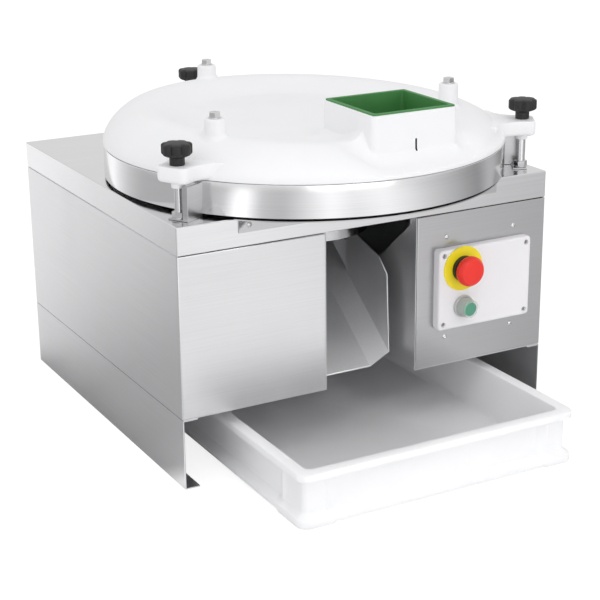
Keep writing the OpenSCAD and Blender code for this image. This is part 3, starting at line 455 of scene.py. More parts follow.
for node in ("back_panel", "rear_skirt", "recess_left_wall", "recess_right_wall", "ring_brackets"):
    softened(node, RUB, on_rim, 2)
softened("drop_chute", FOLD, on_fold, 3)
softened("bearing_housing", RUB, lambda edge, low, high: sharp(edge, SQUARE), 2)

# %% [markdown]
# ## Rounded outlines
# Nearly every moulded or turned shape here is an outline with eased corners. One helper takes corners
# in millimetres, each with its radius, and puts an arc at each; another walks round a rectangle. The
# last spins such an outline round a line that points out of the front, as for a button.

# %% Helpers for outlines
# A turned end closes at this small radius, in millimetres.
POLE = 0.1


def eased(corners, steps=4, closed=False):
    """Points in metres through corners given in millimetres as (across, up, radius)."""
    points = []
    last = len(corners) - 1
    for i, (across, up, radius) in enumerate(corners):
        here = Vector((across, up))
        if radius == 0 or (not closed and i in (0, last)):
            points.append(here * MM)
            continue
        back = (Vector(corners[i - 1][:2]) - here).normalized()
        ahead = (Vector(corners[(i + 1) % len(corners)][:2]) - here).normalized()
        half = back.angle(ahead) / 2
        centre = here + (back + ahead).normalized() * radius / math.sin(half)
        first = here + back * radius / math.tan(half) - centre
        final = here + ahead * radius / math.tan(half) - centre
        points += [(centre + radius * first.slerp(final, k / steps)) * MM for k in range(steps + 1)]
    return points


def frame_loop(half_x, half_y, radius, side=8, corner=6):
    """Points round a rectangle with round corners, side by side all the way round."""
    signs = ((1, 1), (-1, 1), (-1, -1), (1, -1))
    starts = []
    for k, (sx, sy) in enumerate(signs):
        centre = Vector((sx * (half_x - radius), sy * (half_y - radius)))
        turns = [math.pi / 2 * (k + i / corner) for i in range(corner + 1)]
        starts.append([centre + radius * Vector((math.cos(a), math.sin(a))) for a in turns])
    loop = []
    for k, arc in enumerate(starts):
        ahead = starts[(k + 1) % 4][0]
        loop += arc + [arc[-1].lerp(ahead, i / side) for i in range(1, side)]
    return loop


def soft_step(value, low, high):
    """0 below low, 1 above high, and a soft rise between them."""
    t = min(1.0, max(0.0, (value - low) / (high - low)))
    return t * t * (3 - 2 * t)


def front_turned(name, node, corners, steps, count, closed=True):
    """Makes a piece with eased corners, spun round the line that points out of its solid's middle."""
    low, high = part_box(node)
    middle = (low + high) / 2
    bm = bmesh.new()
    turned(bm, eased(corners, steps, closed), count, facing_front(middle.x, middle.z), closed)
    built(name, bm, node)


print("outlines ready")

# %% [markdown]
# ## The steel ring
# The ring is a rolled strip that stands on the casing, with both rims dressed smooth. Its section is
# spun round the axis in fine steps, because the eye follows its long reflections.

# %% Ring
ring_low, ring_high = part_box("drum_ring")
RING_R = ring_high.x
RING_TOP = ring_high.z
RING_WALL = 2
RING_STEPS = 256
RIM = 0.6
outer, low_z, high_z = RING_R / MM, ring_low.z / MM, RING_TOP / MM
section = eased([(outer - RING_WALL, low_z, RIM), (outer, low_z, RIM), (outer, high_z, RIM),
                 (outer - RING_WALL, high_z, RIM)], 3, closed=True)
bm = bmesh.new()
turned(bm, section, RING_STEPS, closed=True)
built("ring_band", bm, "drum_ring")
print("ring radius", round(RING_R, 4))

# %% [markdown]
# ## The lid's main shell
# The lid is one moulding: a steep edge, a broad crest and a dish that winds inwards like a snail shell.
# In front of the hopper the crest is cut away to a low shelf. A rule that gives the height over any
# place makes all of this, and every other feature of the lid can ask it how high the surface is.

# %% Height of the lid
hopper_low, hopper_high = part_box("hopper_liner")
HOPPER = (hopper_low + hopper_high) / 2
LIP = 2 * MM
HOPPER_RIM = hopper_high.z - LIP
BLOCK_HALF = 61 * MM
BLOCK_FRONT = HOPPER.y - BLOCK_HALF
LID_FOOT = RING_TOP + 0.4 * MM
EDGE_Z = RING_TOP + 5 * MM
CREST_Z = RING_TOP + 41 * MM
CREST_TILT = 8 * MM
CREST_SIDE = math.radians(140)
CREST_R = RING_R - 48 * MM
CREST_IN_R = RING_R - 58 * MM
DISH_WIDE, DISH_NARROW = 168 * MM, 138 * MM
DISH_DEEP = 18 * MM
SNAIL_SIDE = math.radians(-62)
SNAIL_STEP = 0.86
SLOPE = 1.5
SHELF_RISE = 6 * MM
SHELF_EASE = 26 * MM
SHELF_START, SHELF_END = BLOCK_HALF - 8 * MM, BLOCK_HALF + 52 * MM
LID_WALL = 4 * MM


def lid_height(x, y):
    """Height of the lid's upper face over a place on the drum."""
    reach = math.hypot(x, y)
    turn = math.atan2(y, x)
    crest = CREST_Z + CREST_TILT * (x * math.cos(CREST_SIDE) + y * math.sin(CREST_SIDE)) / CREST_R
    out = min(1.0, max(0.0, (reach - CREST_R) / (RING_R - CREST_R)))
    lift = (1 - out ** SLOPE) ** (1 / SLOPE)
    wound = (turn - SNAIL_SIDE) / (2 * math.pi) % 1
    dish_r = DISH_WIDE + (DISH_NARROW - DISH_WIDE) * wound
    dish_r += (DISH_WIDE - dish_r) * soft_step(wound, SNAIL_STEP, 1)
    sunk = soft_step(CREST_IN_R - reach, 0, CREST_IN_R - dish_r)
    height = EDGE_Z + (crest - EDGE_Z) * lift - DISH_DEEP * sunk
    shelf = EDGE_Z + SHELF_RISE * lift
    aside = 1 - soft_step(abs(x - HOPPER.x), SHELF_START, SHELF_END)
    ahead = 1 - soft_step(y, BLOCK_FRONT, BLOCK_FRONT + SHELF_EASE)
    return height + (min(height, shelf) - height) * aside * ahead


print("lid crest", round(lid_height(-CREST_R, 0), 4))
print("shelf", round(lid_height(HOPPER.x, BLOCK_FRONT - 10 * MM), 4))

# %% Main shell
LID_TURNS = 288
FOOT_EASE = 1 * MM
SLOPE_STEPS, DISH_STEPS, UNDER_STEPS = 16, 52, 26


def lid_row(reach, sink):
    """One level row of the shell, the given depth under its upper face."""
    row = circle(reach, 0, LID_TURNS)
    for p in row:
        p.z = lid_height(p.x, p.y) - sink
    return row


rows = [circle(RING_R - FOOT_EASE, LID_FOOT, LID_TURNS), circle(RING_R, LID_FOOT + FOOT_EASE, LID_TURNS)]
for k in range(SLOPE_STEPS):
    out = math.cos(math.pi / 2 * k / SLOPE_STEPS)
    rows.append(lid_row(CREST_R + (RING_R - CREST_R) * out, 0))
rows += [lid_row(CREST_R * (1 - k / DISH_STEPS), 0) for k in range(DISH_STEPS + 1)]
rows += [lid_row((RING_R - LID_WALL) * k / UNDER_STEPS, LID_WALL) for k in range(UNDER_STEPS + 1)]
rows.append(circle(RING_R - LID_WALL, LID_FOOT, LID_TURNS))
rows.append(rows[0])
bm = bmesh.new()
skin(bm, rows)
shell = to_mesh(bm, "lid_shell")
print("shell faces", len(shell.polygons))

# %% [markdown]
# ## Walls that grow out of the lid
# The hopper block and the three bosses grow out of the shell with a flared foot. Both are loops of
# points that run down a wall and then spread out, and at each point of the flare the height rule says
# where the shell is. The rise over it dies away as a cube, so the flare lies down on the shell, and the
# last row dips just under it, so no gap can show. Near the lid's edge the rows stop short of the rim.

# %% Flared walls
FLARE_STEPS = 14
FLARE_PACE, FLARE_FADE = 1.5, 3
FLARE_REACH = RING_R - 5 * MM
DIP = 0.25 * MM


def flare(loop_at, start, width, rise):
    """Rows that spread from a wall into the lid; loop_at gives the wall's loop, moved outwards."""
    rows = []
    for k in range(FLARE_STEPS + 1):
        share = (k / FLARE_STEPS) ** FLARE_PACE
        row = []
        for p in loop_at(start + width * share):
            p = p * min(1, FLARE_REACH / p.length)
            over = rise * (1 - share) ** FLARE_FADE - DIP * share
            row.append(Vector((p.x, p.y, lid_height(p.x, p.y) + over)))
        rows.append(row)
    return rows


print("a flare has", FLARE_STEPS + 1, "rows")

# %% Hopper block
BLOCK_ROUND = 7 * MM
BLOCK_WALL = 5 * MM
BLOCK_DRAFT = 1.2 * MM
BLOCK_TUCK = 2 * MM
BLOCK_FLARE, BLOCK_RISE = 26 * MM, 13 * MM


def block_loop(out):
    """The block's outline, moved outwards."""
    half, radius = BLOCK_HALF + out, BLOCK_ROUND + max(out, -BLOCK_WALL)
    loop = frame_loop(half, half, radius, side=14, corner=7)
    return [p + HOPPER.xy for p in loop]


def level(loop, z):
    return [Vector((p.x, p.y, z)) for p in loop]


foot_z = hopper_low.z
rim_edge = [(2.2, 0), (1.1, 0.25), (0.3, 1.0), (0, 2.2)]
rows = [level(block_loop(-BLOCK_WALL), foot_z), level(block_loop(-BLOCK_WALL), HOPPER_RIM)]
rows += [level(block_loop(-inset * MM), HOPPER_RIM - drop * MM) for inset, drop in rim_edge]
rows += flare(block_loop, BLOCK_DRAFT, BLOCK_FLARE, BLOCK_RISE)
rows.append(level(block_loop(BLOCK_DRAFT), foot_z - BLOCK_TUCK))
rows.append(rows[0])
bm = bmesh.new()
skin(bm, rows)
block = to_mesh(bm, "hopper_block")
print("block rim", round(HOPPER_RIM, 4))

# %% Bosses
BOSS_COUNT = 3
BOSS_START = math.radians(96)
BOSS_CIRCLE = RING_R - 55 * MM
BOSS_MIDDLE = Vector((-14, 11)) * MM
BOSS_TOP = RING_TOP + 65 * MM
BOSS_R = 13 * MM
BOSS_FOOT_R = 13.5 * MM
BOSS_EASE = 1.6 * MM
BOSS_TUCK = RING_TOP + 14 * MM
BOSS_STEPS = 48
BOSS_FLARE, BOSS_RISE = 7 * MM, 5 * MM
boss_turns = [BOSS_START + 2 * math.pi * i / BOSS_COUNT for i in range(BOSS_COUNT)]
bm = bmesh.new()
for turn in boss_turns:
    middle = BOSS_MIDDLE + BOSS_CIRCLE * Vector((math.cos(turn), math.sin(turn)))

    def boss_loop(radius):
        return [Vector((p.x, p.y)) + middle for p in circle(radius, 0, BOSS_STEPS)]

    rows = [level(boss_loop(POLE * MM), BOSS_TOP), level(boss_loop(BOSS_R - BOSS_EASE), BOSS_TOP)]
    rows += [level(boss_loop(BOSS_R - inset * MM), BOSS_TOP - drop * MM) for inset, drop in rim_edge[1:]]
    rows += flare(boss_loop, BOSS_FOOT_R, BOSS_FLARE, BOSS_RISE)
    rows.append(level(boss_loop(BOSS_FOOT_R), BOSS_TUCK))
    skin(bm, rows, cap_first=True, cap_last=True)
bosses = to_mesh(bm, "bosses")
print("boss top", round(BOSS_TOP, 4))

# %% [markdown]
# ## Clamp lugs
# Each lug is a thick, square-ended tongue that runs into the lid's edge through two hollow curves. Half
# its outline is a round corner, and then a hollow arc that leaves the tongue's side and ends along a
# circle a little inside the rim, where the lid's slope has risen over it. The edges are eased by
# insetting the outline row by row.

# %% Lugs
STUD_FOOT_R = 9
STUD_CIRCLE = (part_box("clamp_studs")[1].x - STUD_FOOT_R * MM) / math.cos(math.radians(30))
clamp_turn = {"knob_front_left": -150, "knob_front_right": -30, "knob_rear": 96}
clamp_place = {node: STUD_CIRCLE * Vector((math.cos(math.radians(turn)), math.sin(math.radians(turn))))
               for node, turn in clamp_turn.items()}
LUG_HALF = 22 * MM
LUG_END = STUD_CIRCLE + 16.4 * MM
LUG_CORNER = 9 * MM
LUG_HOLLOW = 40 * MM
LUG_MERGE = RING_R - 10 * MM
LUG_LOW, LUG_TOP = RING_TOP + 2 * MM, RING_TOP + 22 * MM
LUG_BORE, BORE_STEPS = 6 * MM, 24
CORNER_STEPS, HOLLOW_STEPS = 8, 12


def arc(centre, radius, start, stop, steps):
    turns = [start + (stop - start) * i / steps for i in range(steps + 1)]
    return [centre + radius * Vector((math.cos(a), math.sin(a))) for a in turns]


def lug_outline(inset):
    """Half the tongue's outline from its tip inwards, then the other half mirrored."""
    hollow_y = LUG_HALF + LUG_HOLLOW
    hollow_x = math.sqrt((LUG_MERGE + LUG_HOLLOW) ** 2 - hollow_y ** 2)
    meets = math.atan2(-hollow_y, -hollow_x)
    half = [Vector((LUG_END - inset, 0))]
    corner = Vector((LUG_END - LUG_CORNER, LUG_HALF - LUG_CORNER))
    half += arc(corner, LUG_CORNER - inset, 0, math.pi / 2, CORNER_STEPS)
    half += arc(Vector((hollow_x, hollow_y)), LUG_HOLLOW + inset, -math.pi / 2, meets, HOLLOW_STEPS)
    half += [Vector((CREST_R, half[-1].y)), Vector((CREST_R, 0))]
    return half + [Vector((p.x, -p.y)) for p in half[-2:0:-1]]


lug_edge = [(5, 0), (3.2, 0.5), (1.5, 1.5), (0.4, 3.2), (0, 5.5)]
top_edge = [(0, 17), (0.3, 18.6), (1.0, 19.6), (2.4, 20)]
lug_rows = [(inset * MM, LUG_LOW + up * MM) for inset, up in lug_edge + top_edge]
bm = bmesh.new()
for place in clamp_place.values():
    turn = Matrix.Rotation(math.atan2(place.y, place.x), 4, "Z")
    rows = skin(bm, [[turn @ Vector((p.x, p.y, z)) for p in lug_outline(inset)] for inset, z in lug_rows])
    bore = Matrix.Translation((place.x, place.y, 0))
    bores = skin(bm, [[bore @ p for p in circle(LUG_BORE, z, BORE_STEPS)] for z in (LUG_LOW, LUG_TOP)])
    for rim, hole in ((rows[0], bores[0]), (rows[-1], bores[-1])):
        loops = [(ring[i], ring[(i + 1) % len(ring)]) for ring in (rim, hole) for i in range(len(ring))]
        edges = [bm.edges.get(pair) for pair in loops]
        bmesh.ops.triangle_fill(bm, edges=edges, use_beauty=True)
lugs = to_mesh(bm, "lugs")
print("lugs:", len(clamp_place))

# %% [markdown]
# ## Cutting and joining the lid
# The mouth under the hopper goes right through the shell, and a thin slot stands in the block's front.
# A Boolean modifier cuts both: the cutter is a plain box. The slot is shallow, and the black finish that
# its cutter leaves on the slot's faces is painted shade, so it looks like a deep, dark opening.


# %% Cut the lid and join it
def box_between(low, high):
    bm = bmesh.new()
    bmesh.ops.create_cube(bm, size=1, matrix=Matrix.LocRotScale((low + high) / 2, None, high - low))
    return bm


def cut(mesh, bm, finish):
    """The mesh with a shape taken out of it; the cut faces take the given finish."""
    cutter = bpy.data.objects.new("cutter", to_mesh(bm, "cutter"))
    cutter.data.materials.append(finish)
    target = bpy.data.objects.new("target", mesh)
    for obj in (cutter, target):
        scene.collection.objects.link(obj)
    taken = target.modifiers.new("taken", "BOOLEAN")
    taken.operation, taken.solver, taken.object = "DIFFERENCE", "EXACT", cutter
    taken.material_mode = "TRANSFER"
    made = bpy.data.meshes.new_from_object(target.evaluated_get(bpy.context.evaluated_depsgraph_get()))
    for obj in (cutter, target):
        bpy.data.objects.remove(obj)
    return made


def joined(meshes, name):
    """One mesh out of several."""
    bm = bmesh.new()
    for mesh in meshes:
        bm.from_mesh(mesh)
    made = bpy.data.meshes.new(name)
    bm.to_mesh(made)
    bm.free()
    return made


MOUTH_DEEP = 20 * MM
SLOT_W, SLOT_DEPTH, SLOT_REACH = 2.5 * MM, 4.4 * MM, 30 * MM
SLOT_LOW, SLOT_HIGH = RING_TOP + 21 * MM, RING_TOP + 36 * MM
mouth = BLOCK_HALF - BLOCK_WALL / 2
for mesh in (shell, block, bosses, lugs):
    mesh.materials.append(finish_of["lid"])
hollow = box_between(Vector((HOPPER.x - mouth, HOPPER.y - mouth, RING_TOP - MOUTH_DEEP)),
                     Vector((HOPPER.x + mouth, HOPPER.y + mouth, HOPPER_RIM)))
shell = cut(shell, hollow, finish_of["lid"])
slot = box_between(Vector((HOPPER.x - SLOT_W / 2, BLOCK_FRONT - SLOT_REACH, SLOT_LOW)),
                   Vector((HOPPER.x + SLOT_W / 2, BLOCK_FRONT + SLOT_DEPTH, SLOT_HIGH)))
# The slot's black faces are painted shade: the slot is only a shallow recess.
block = cut(block, slot, finishes["black_plastic"])
lid = joined([shell, block, bosses, lugs], "lid_moulding")
slot_shade_indices = [face.material_index for face in lid.polygons]
piece("lid_moulding", lid, "lid")
lid.materials.append(finishes["black_plastic"])
lid.polygons.foreach_set("material_index", slot_shade_indices)
print("lid faces", len(lid.polygons), "dark", sum(1 for i in slot_shade_indices if i))

# %% [markdown]
# ## Spiral guide
# The guide that rolls the dough is bolted under the lid. Its top plate is as wide as the drum, so where
# the lid drops to the low shelf in front of the hopper, the plate is trimmed back under it.

# %% Guide
guide = nodes["spiral_guide"].data.copy()
guide_low, guide_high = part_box("spiral_guide")
SHELF_UNDER = EDGE_Z - LID_WALL
PAST = 5 * MM
trimmed = box_between(Vector((HOPPER.x - SHELF_END, guide_low.y - PAST, SHELF_UNDER)),
                      Vector((HOPPER.x + SHELF_END, BLOCK_FRONT + SHELF_EASE, guide_high.z + PAST)))
guide = cut(guide, trimmed, finish_of["spiral_guide"])
piece("guide_under_lid", guide, "spiral_guide")
print("guide top", round(guide_high.z, 4), "trimmed to", round(SHELF_UNDER, 4))

# %% [markdown]
# ## Hopper liner
# The green liner is a thin square tube with a small lip that sits on the block. It is the same frame
# loop again, walked down the outside, over the lip and down the inside, with a wider corner inside.

# %% Liner
LINER_PLAY = 0.05 * MM
LINER_HALF = 56 * MM - LINER_PLAY


def liner_loop(inset, radius):
    half = LINER_HALF - inset * MM
    return [p + HOPPER.xy for p in frame_loop(half, half, radius * MM, side=10)]


lip_z = hopper_high.z
liner_rows = [(0, 3, foot_z), (0, 3, HOPPER_RIM), (-2.7, 3, HOPPER_RIM), (-3, 3, HOPPER_RIM + 0.3 * MM),
              (-3, 3, lip_z - 0.4 * MM), (-2.6, 3, lip_z), (1.8, 3, lip_z), (2.3, 3, lip_z - 0.4 * MM),
              (2.5, 3, lip_z - 1.4 * MM), (2.6, 4, lip_z - 20 * MM), (2.8, 6, foot_z), (0, 3, foot_z)]
bm = bmesh.new()
skin(bm, [level(liner_loop(inset, radius), z) for inset, radius, z in liner_rows])
built("hopper_liner_shell", bm, "hopper_liner")
print("liner lip", round(lip_z, 4))

# %% [markdown]
# ## Clamp knobs
# A star knob is moulded in hard black plastic, with seven blunt lobes round a low crown. Each row of
# points keeps its height, and a wave pulls its radius in between the lobes. The wave dies out towards
# the neck and towards the middle of the crown.

# %% Knobs
KNOB_LOBES = 7
LOBE_STEPS = 14
KNOB_BITE, BITE_SHARP = 3.0, 3
knob_rows = [(9.2, 0, 0), (9.2, 8.6, 0), (10.0, 9.4, 0.1), (13.6, 10.6, 0.6), (16.8, 12.0, 1),
             (18.2, 13.2, 1), (18.7, 14.4, 1), (18.7, 23.4, 1), (18.3, 24.8, 1), (17.0, 25.7, 0.95),
             (14, 26.3, 0.6), (10, 26.7, 0.25), (6, 26.9, 0.05), (2, 27, 0)]


def lobed(radius, z, share):
    """A loop whose radius is bitten between the lobes."""
    loop = []
    count = KNOB_LOBES * LOBE_STEPS
    for i in range(count):
        a = 2 * math.pi * i / count
        wave = (0.5 + 0.5 * math.cos(KNOB_LOBES * a)) ** BITE_SHARP
        reach = (radius - KNOB_BITE * share * wave) * MM
        loop.append(Vector((reach * math.cos(a), reach * math.sin(a), z * MM)))
    return loop


KNOB_LIFT = LUG_TOP + 0.4 * MM
KNOB_TURN = {"knob_front_left": 14, "knob_front_right": 31, "knob_rear": 9}
for node, place in clamp_place.items():
    spot = (Matrix.Translation((place.x, place.y, KNOB_LIFT))
            @ Matrix.Rotation(math.radians(KNOB_TURN[node]), 4, "Z"))
    bm = bmesh.new()
    skin(bm, [[spot @ p for p in lobed(*row)] for row in knob_rows], cap_first=True, cap_last=True)
    built(node + "_star", bm, node)
print("knobs:", len(clamp_place))

# %% [markdown]
# ## Copies by Geometry Nodes
# Fasteners repeat, so each is modelled once, at the origin, and a node tree puts copies of it on a set
# of points. One tree makes its own points round an upright axis; the other takes the vertices that it
# is given. Both end in real geometry with its finish, which is then kept as a plain mesh.


# %% Trees that place copies
def copies_tree(name, sizes):
    """A tree with an object to copy, named sizes and a finish; returns it with its in and out nodes."""
    tree = bpy.data.node_groups.new(name, "GeometryNodeTree")
    inputs = {"Geometry": "NodeSocketGeometry", "Copy": "NodeSocketObject", "Finish": "NodeSocketMaterial"}
    for size, kind in (inputs | sizes).items():
        tree.interface.new_socket(size, in_out="INPUT", socket_type=kind)
    tree.interface.new_socket("Geometry", in_out="OUTPUT", socket_type="NodeSocketGeometry")
    return tree, tree.nodes.new("NodeGroupInput"), tree.nodes.new("NodeGroupOutput")


def finish_copies(tree, inside, outside, points, turn):
    """Puts the object on the points, makes the copies real and gives them their finish."""
    copy, finish = (Wire(tree, inside.outputs[name]) for name in ("Copy", "Finish"))
    source = points.node("GeometryNodeObjectInfo", {}, {"Object": copy}, "Geometry")
    placed = points.node("GeometryNodeInstanceOnPoints", {}, {"Points": points, "Instance": source, **turn})
    real = points.node("GeometryNodeRealizeInstances", {}, {"Geometry": placed})
    dressed = points.node("GeometryNodeSetMaterial", {}, {"Geometry": real, "Material": finish})
    tree.links.new(dressed.socket, outside.inputs["Geometry"])
    return tree


def round_axis_tree():
    """Copies on points of its own, evenly round an upright axis."""
    sizes = {"Count": "NodeSocketInt", "Radius": "NodeSocketFloat", "Start": "NodeSocketFloat",
             "Middle X": "NodeSocketFloat", "Middle Y": "NodeSocketFloat"}
    tree, inside, outside = copies_tree("copies_round_axis", sizes)
    count, radius, start, middle_x, middle_y = (Wire(tree, inside.outputs[size]) for size in sizes)
    index = count.node("GeometryNodeInputIndex", {}, {})
    angle = index * (2 * math.pi) * count.math("DIVIDE", 1.0, count) + start
    place = count.node("ShaderNodeCombineXYZ", {}, {"X": middle_x + radius * angle.math("COSINE", angle),
                                                    "Y": middle_y + radius * angle.math("SINE", angle)})
    points = count.node("GeometryNodePoints", {}, {"Count": count, "Position": place})
    turn = count.node("ShaderNodeCombineXYZ", {}, {"Z": angle})
    return finish_copies(tree, inside, outside, points, {"Rotation": turn})


def at_places_tree():
    """Copies on the vertices that it is given."""
    tree, inside, outside = copies_tree("copies_at_places", {})
    points = Wire(tree, inside.outputs["Geometry"])
    return finish_copies(tree, inside, outside, points, {})


round_axis = round_axis_tree()
at_places = at_places_tree()
print("trees:", round_axis.name, at_places.name)

# %% Run a tree and keep its mesh
HEX_STEPS = 72
HEX_CLIP, HEX_FALL = 0.525, 0.6


def copies(name, bm, node, tree, places=(), **sizes):
    """Makes the piece that all the copies of one model are, as a plain mesh."""
    model = bpy.data.objects.new(name + "_model", to_mesh(bm, name + "_model"))
    model.data.shade_smooth()
    carrier_mesh = bpy.data.meshes.new(name)
    carrier_mesh.from_pydata([tuple(p) for p in places], [], [])
    carrier = bpy.data.objects.new(name, carrier_mesh)
    scene.collection.objects.link(model)
    scene.collection.objects.link(carrier)
    grow = carrier.modifiers.new("copies", "NODES")
    grow.node_group = tree
    inputs = {"Copy": model, "Finish": finish_of[node], **sizes}
    for socket in tree.interface.items_tree:
        if socket.in_out == "INPUT" and socket.name in inputs:
            grow[socket.identifier] = inputs[socket.name]
    mesh = bpy.data.meshes.new_from_object(carrier.evaluated_get(bpy.context.evaluated_depsgraph_get()))
    bpy.data.objects.remove(carrier)
    bpy.data.objects.remove(model)
    piece(name, mesh, node)


def hex_loop(flats, z, slope=0.0, clipped=False):
    """A six-sided loop in millimetres; its corners fall by a slope or are clipped to a circle."""
    loop = []
    for i in range(HEX_STEPS):
        a = 2 * math.pi * i / HEX_STEPS
        reach = flats / 2 / math.cos((a + math.pi / 6) % (math.pi / 3) - math.pi / 6)
        past = max(0.0, reach - flats * HEX_CLIP)
        reach -= past if clipped else 0
        loop.append(Vector((reach * math.cos(a), reach * math.sin(a), z - slope * past)) * MM)
    return loop


def hex_rows(flats, low, high, both=False):
    """A hexagon prism whose corners are turned off at the top, and at the bottom too if asked."""
    foot = [hex_loop(flats, low)]
    if both:
        foot = [hex_loop(flats, low, clipped=True), hex_loop(flats, low, -HEX_FALL)]
    return foot + [hex_loop(flats, high, HEX_FALL), hex_loop(flats, high, clipped=True)]


def heights(node):
    """The lowest and the highest level of a solid, in millimetres."""
    return [corner.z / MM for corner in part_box(node)]


print("copies ready")

# %% [markdown]
# ## Bolts, nuts, studs and sleeves
# Three hexagon bolts hold the spiral guide under the bosses, evenly round an axis of their own. Three
# studs, each with a nut on its bracket's foot and a white sleeve under the lug, carry the lid.

# %% Guide bolts
BOLT_R, BOLT_FLATS, WASHER_R, WASHER_T = 4, 13, 8.4, 1.5
SHANK_OVERLAP = 0.5
bolt_low, bolt_top = heights("guide_bolts")
boss_top = BOSS_TOP / MM
washer_top = boss_top + WASHER_T
bm = bmesh.new()
turned(bm, eased([(BOLT_R, boss_top, 0), (WASHER_R, boss_top, 0.4), (WASHER_R, washer_top, 0.5),
                  (BOLT_R, washer_top, 0)], 3), 48)
skin(bm, hex_rows(BOLT_FLATS, washer_top, bolt_top), cap_first=True, cap_last=True)
turned(bm, eased([(BOLT_R, bolt_low, 0), (BOLT_R, boss_top + SHANK_OVERLAP, 0)]), 24)
sizes = {"Count": BOSS_COUNT, "Radius": BOSS_CIRCLE, "Start": BOSS_START,
         "Middle X": BOSS_MIDDLE.x, "Middle Y": BOSS_MIDDLE.y}
copies("guide_bolt_set", bm, "guide_bolts", round_axis, **sizes)
print("guide bolts to", bolt_top)

# %% Studs, nuts and sleeves
STUD_R, STUD_FOOT = 5, 6
NUT_BORE, NUT_FLATS, NUT_WASHER_R, NUT_WASHER_T = 5.1, 15, 9, 1.6
SLEEVE_BORE, SLEEVE_R = 5.05, 8
STUD_STEPS = 40
clamps = [place.to_3d() for place in clamp_place.values()]
stud_low, stud_top = heights("clamp_studs")
foot_top = stud_low + STUD_FOOT
bm = bmesh.new()
turned(bm, eased([(STUD_FOOT_R, stud_low, 0), (STUD_FOOT_R, foot_top, 0.5), (STUD_R, foot_top, 0.3),
                  (STUD_R, stud_top, 0.8), (POLE, stud_top, 0)], 3), STUD_STEPS)
copies("stud_set", bm, "clamp_studs", at_places, clamps)
nut_low, nut_top = heights("stud_nuts")
washer_top = nut_low + NUT_WASHER_T
bm = bmesh.new()
turned(bm, eased([(NUT_BORE, nut_low, 0), (NUT_WASHER_R, nut_low, 0.4), (NUT_WASHER_R, washer_top, 0.4),
                  (NUT_BORE, washer_top, 0)], 3), STUD_STEPS)
skin(bm, hex_rows(NUT_FLATS, washer_top, nut_top, both=True), cap_first=True, cap_last=True)
copies("stud_nut_set", bm, "stud_nuts", at_places, clamps)
sleeve_low, sleeve_top = heights("stud_sleeves")
bm = bmesh.new()
turned(bm, eased([(SLEEVE_BORE, sleeve_low, 0), (SLEEVE_R, sleeve_low, 0.8), (SLEEVE_R, sleeve_top, 0.4),
                  (SLEEVE_BORE, sleeve_top, 0)], 3), STUD_STEPS)
copies("sleeve_set", bm, "stud_sleeves", at_places, clamps)
print("studs to", stud_top)

# %% [markdown]
# ## Screws of the front
# Small button-head screws hold the control box and the shelf. The head is a low dome with a six-sided
# socket, so its rows run over the dome, in to the socket's edge and down to its floor.

# %% Panel and cover screws
DOME = (0, 0.3, 0.6, 0.9, 1.15)
SOCKET, SOCKET_MOUTH, SOCKET_FLOOR = 0.42, (1.8, 0.96), (1.7, 0.35)


def screw_model(head_r, head_h, shank_r, shank_l):
    """A button-head screw in millimetres, its head's seat at the origin, pointing out of the front."""
    socket = head_r * SOCKET
    rows = [circle(shank_r * MM, z, HEX_STEPS) for z in (-shank_l * MM, 0)]
    rows += [circle(head_r * math.cos(a) * MM, head_h * math.sin(a) * MM, HEX_STEPS) for a in DOME]
    rows += [hex_loop(socket * wide, head_h * up) for wide, up in (SOCKET_MOUTH, SOCKET_FLOOR)]
    bm = bmesh.new()
    face = Matrix.Rotation(math.pi / 2, 4, "X")
    skin(bm, [[face @ p for p in row] for row in rows], cap_first=True, cap_last=True)
    return bm


cover_low, cover_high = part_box("control_cover")
screw_low, screw_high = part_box("panel_screws")
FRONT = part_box("right_front_panel")[0].y
SHEET = 1.5 * MM
HEAD_R = 3.6
LEFT_IN, RIGHT_IN = 19 * MM, 21 * MM
head = HEAD_R * MM
below = screw_low.z + head
above = cover_low.z + cover_high.z - below
panel_x = (cover_low.x + LEFT_IN, cover_high.x - RIGHT_IN)
places = [Vector((x, FRONT, z)) for x in panel_x for z in (below, above)]
shelf_x = screw_low.x + head
places += [Vector((x, FRONT - SHEET, screw_high.z - head)) for x in (shelf_x, -shelf_x)]
panel_screw = screw_model(HEAD_R, head_h=1.8, shank_r=1.8, shank_l=3)
copies("panel_screw_set", panel_screw, "panel_screws", at_places, places)
COVER_IN = 8 * MM
SEAT_DEEP = 1.5 * MM
seat_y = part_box("control_cover_screws")[0].y + SEAT_DEEP
corners = [Vector((x, seat_y, z)) for x in (cover_low.x + COVER_IN, cover_high.x - COVER_IN)
           for z in (cover_low.z + COVER_IN, cover_high.z - COVER_IN)]
cover_screw = screw_model(3.0, head_h=1.3, shank_r=1.9, shank_l=9)
copies("cover_screw_set", cover_screw, "control_cover_screws", at_places, corners)
print("screws:", len(places) + len(corners))

# %% [markdown]
# ## Control box
# A shallow moulded box stands on the right front: a base plate, a fine seam and a cover with eased
# edges. Loops of the same rectangle, pushed out row by row, give the side wall and its seam. The four
# deep screw pits are cut with a Boolean, which leaves clean round mouths.

# %% Control cover
CONTROL = (cover_low + cover_high) / 2
seat_out, face_out = -cover_high.y / MM, -cover_low.y / MM
cover_half = (cover_high - cover_low) / 2
COVER_ROUND = 5
cover_rows = [(0.5, seat_out), (0.5, seat_out + 2.4), (1.3, seat_out + 2.4), (1.3, seat_out + 3.1),
              (0, seat_out + 3.1), (0, face_out - 3.2), (0.25, face_out - 1.8), (0.9, face_out - 0.8),
              (1.9, face_out - 0.2), (3.2, face_out)]


def cover_loop(inset, out):
    half_x, half_z = cover_half.x - inset * MM, cover_half.z - inset * MM
    loop = frame_loop(half_x, half_z, (COVER_ROUND - inset) * MM, side=6)
    return [Vector((CONTROL.x + p.x, -out * MM, CONTROL.z + p.y)) for p in loop]


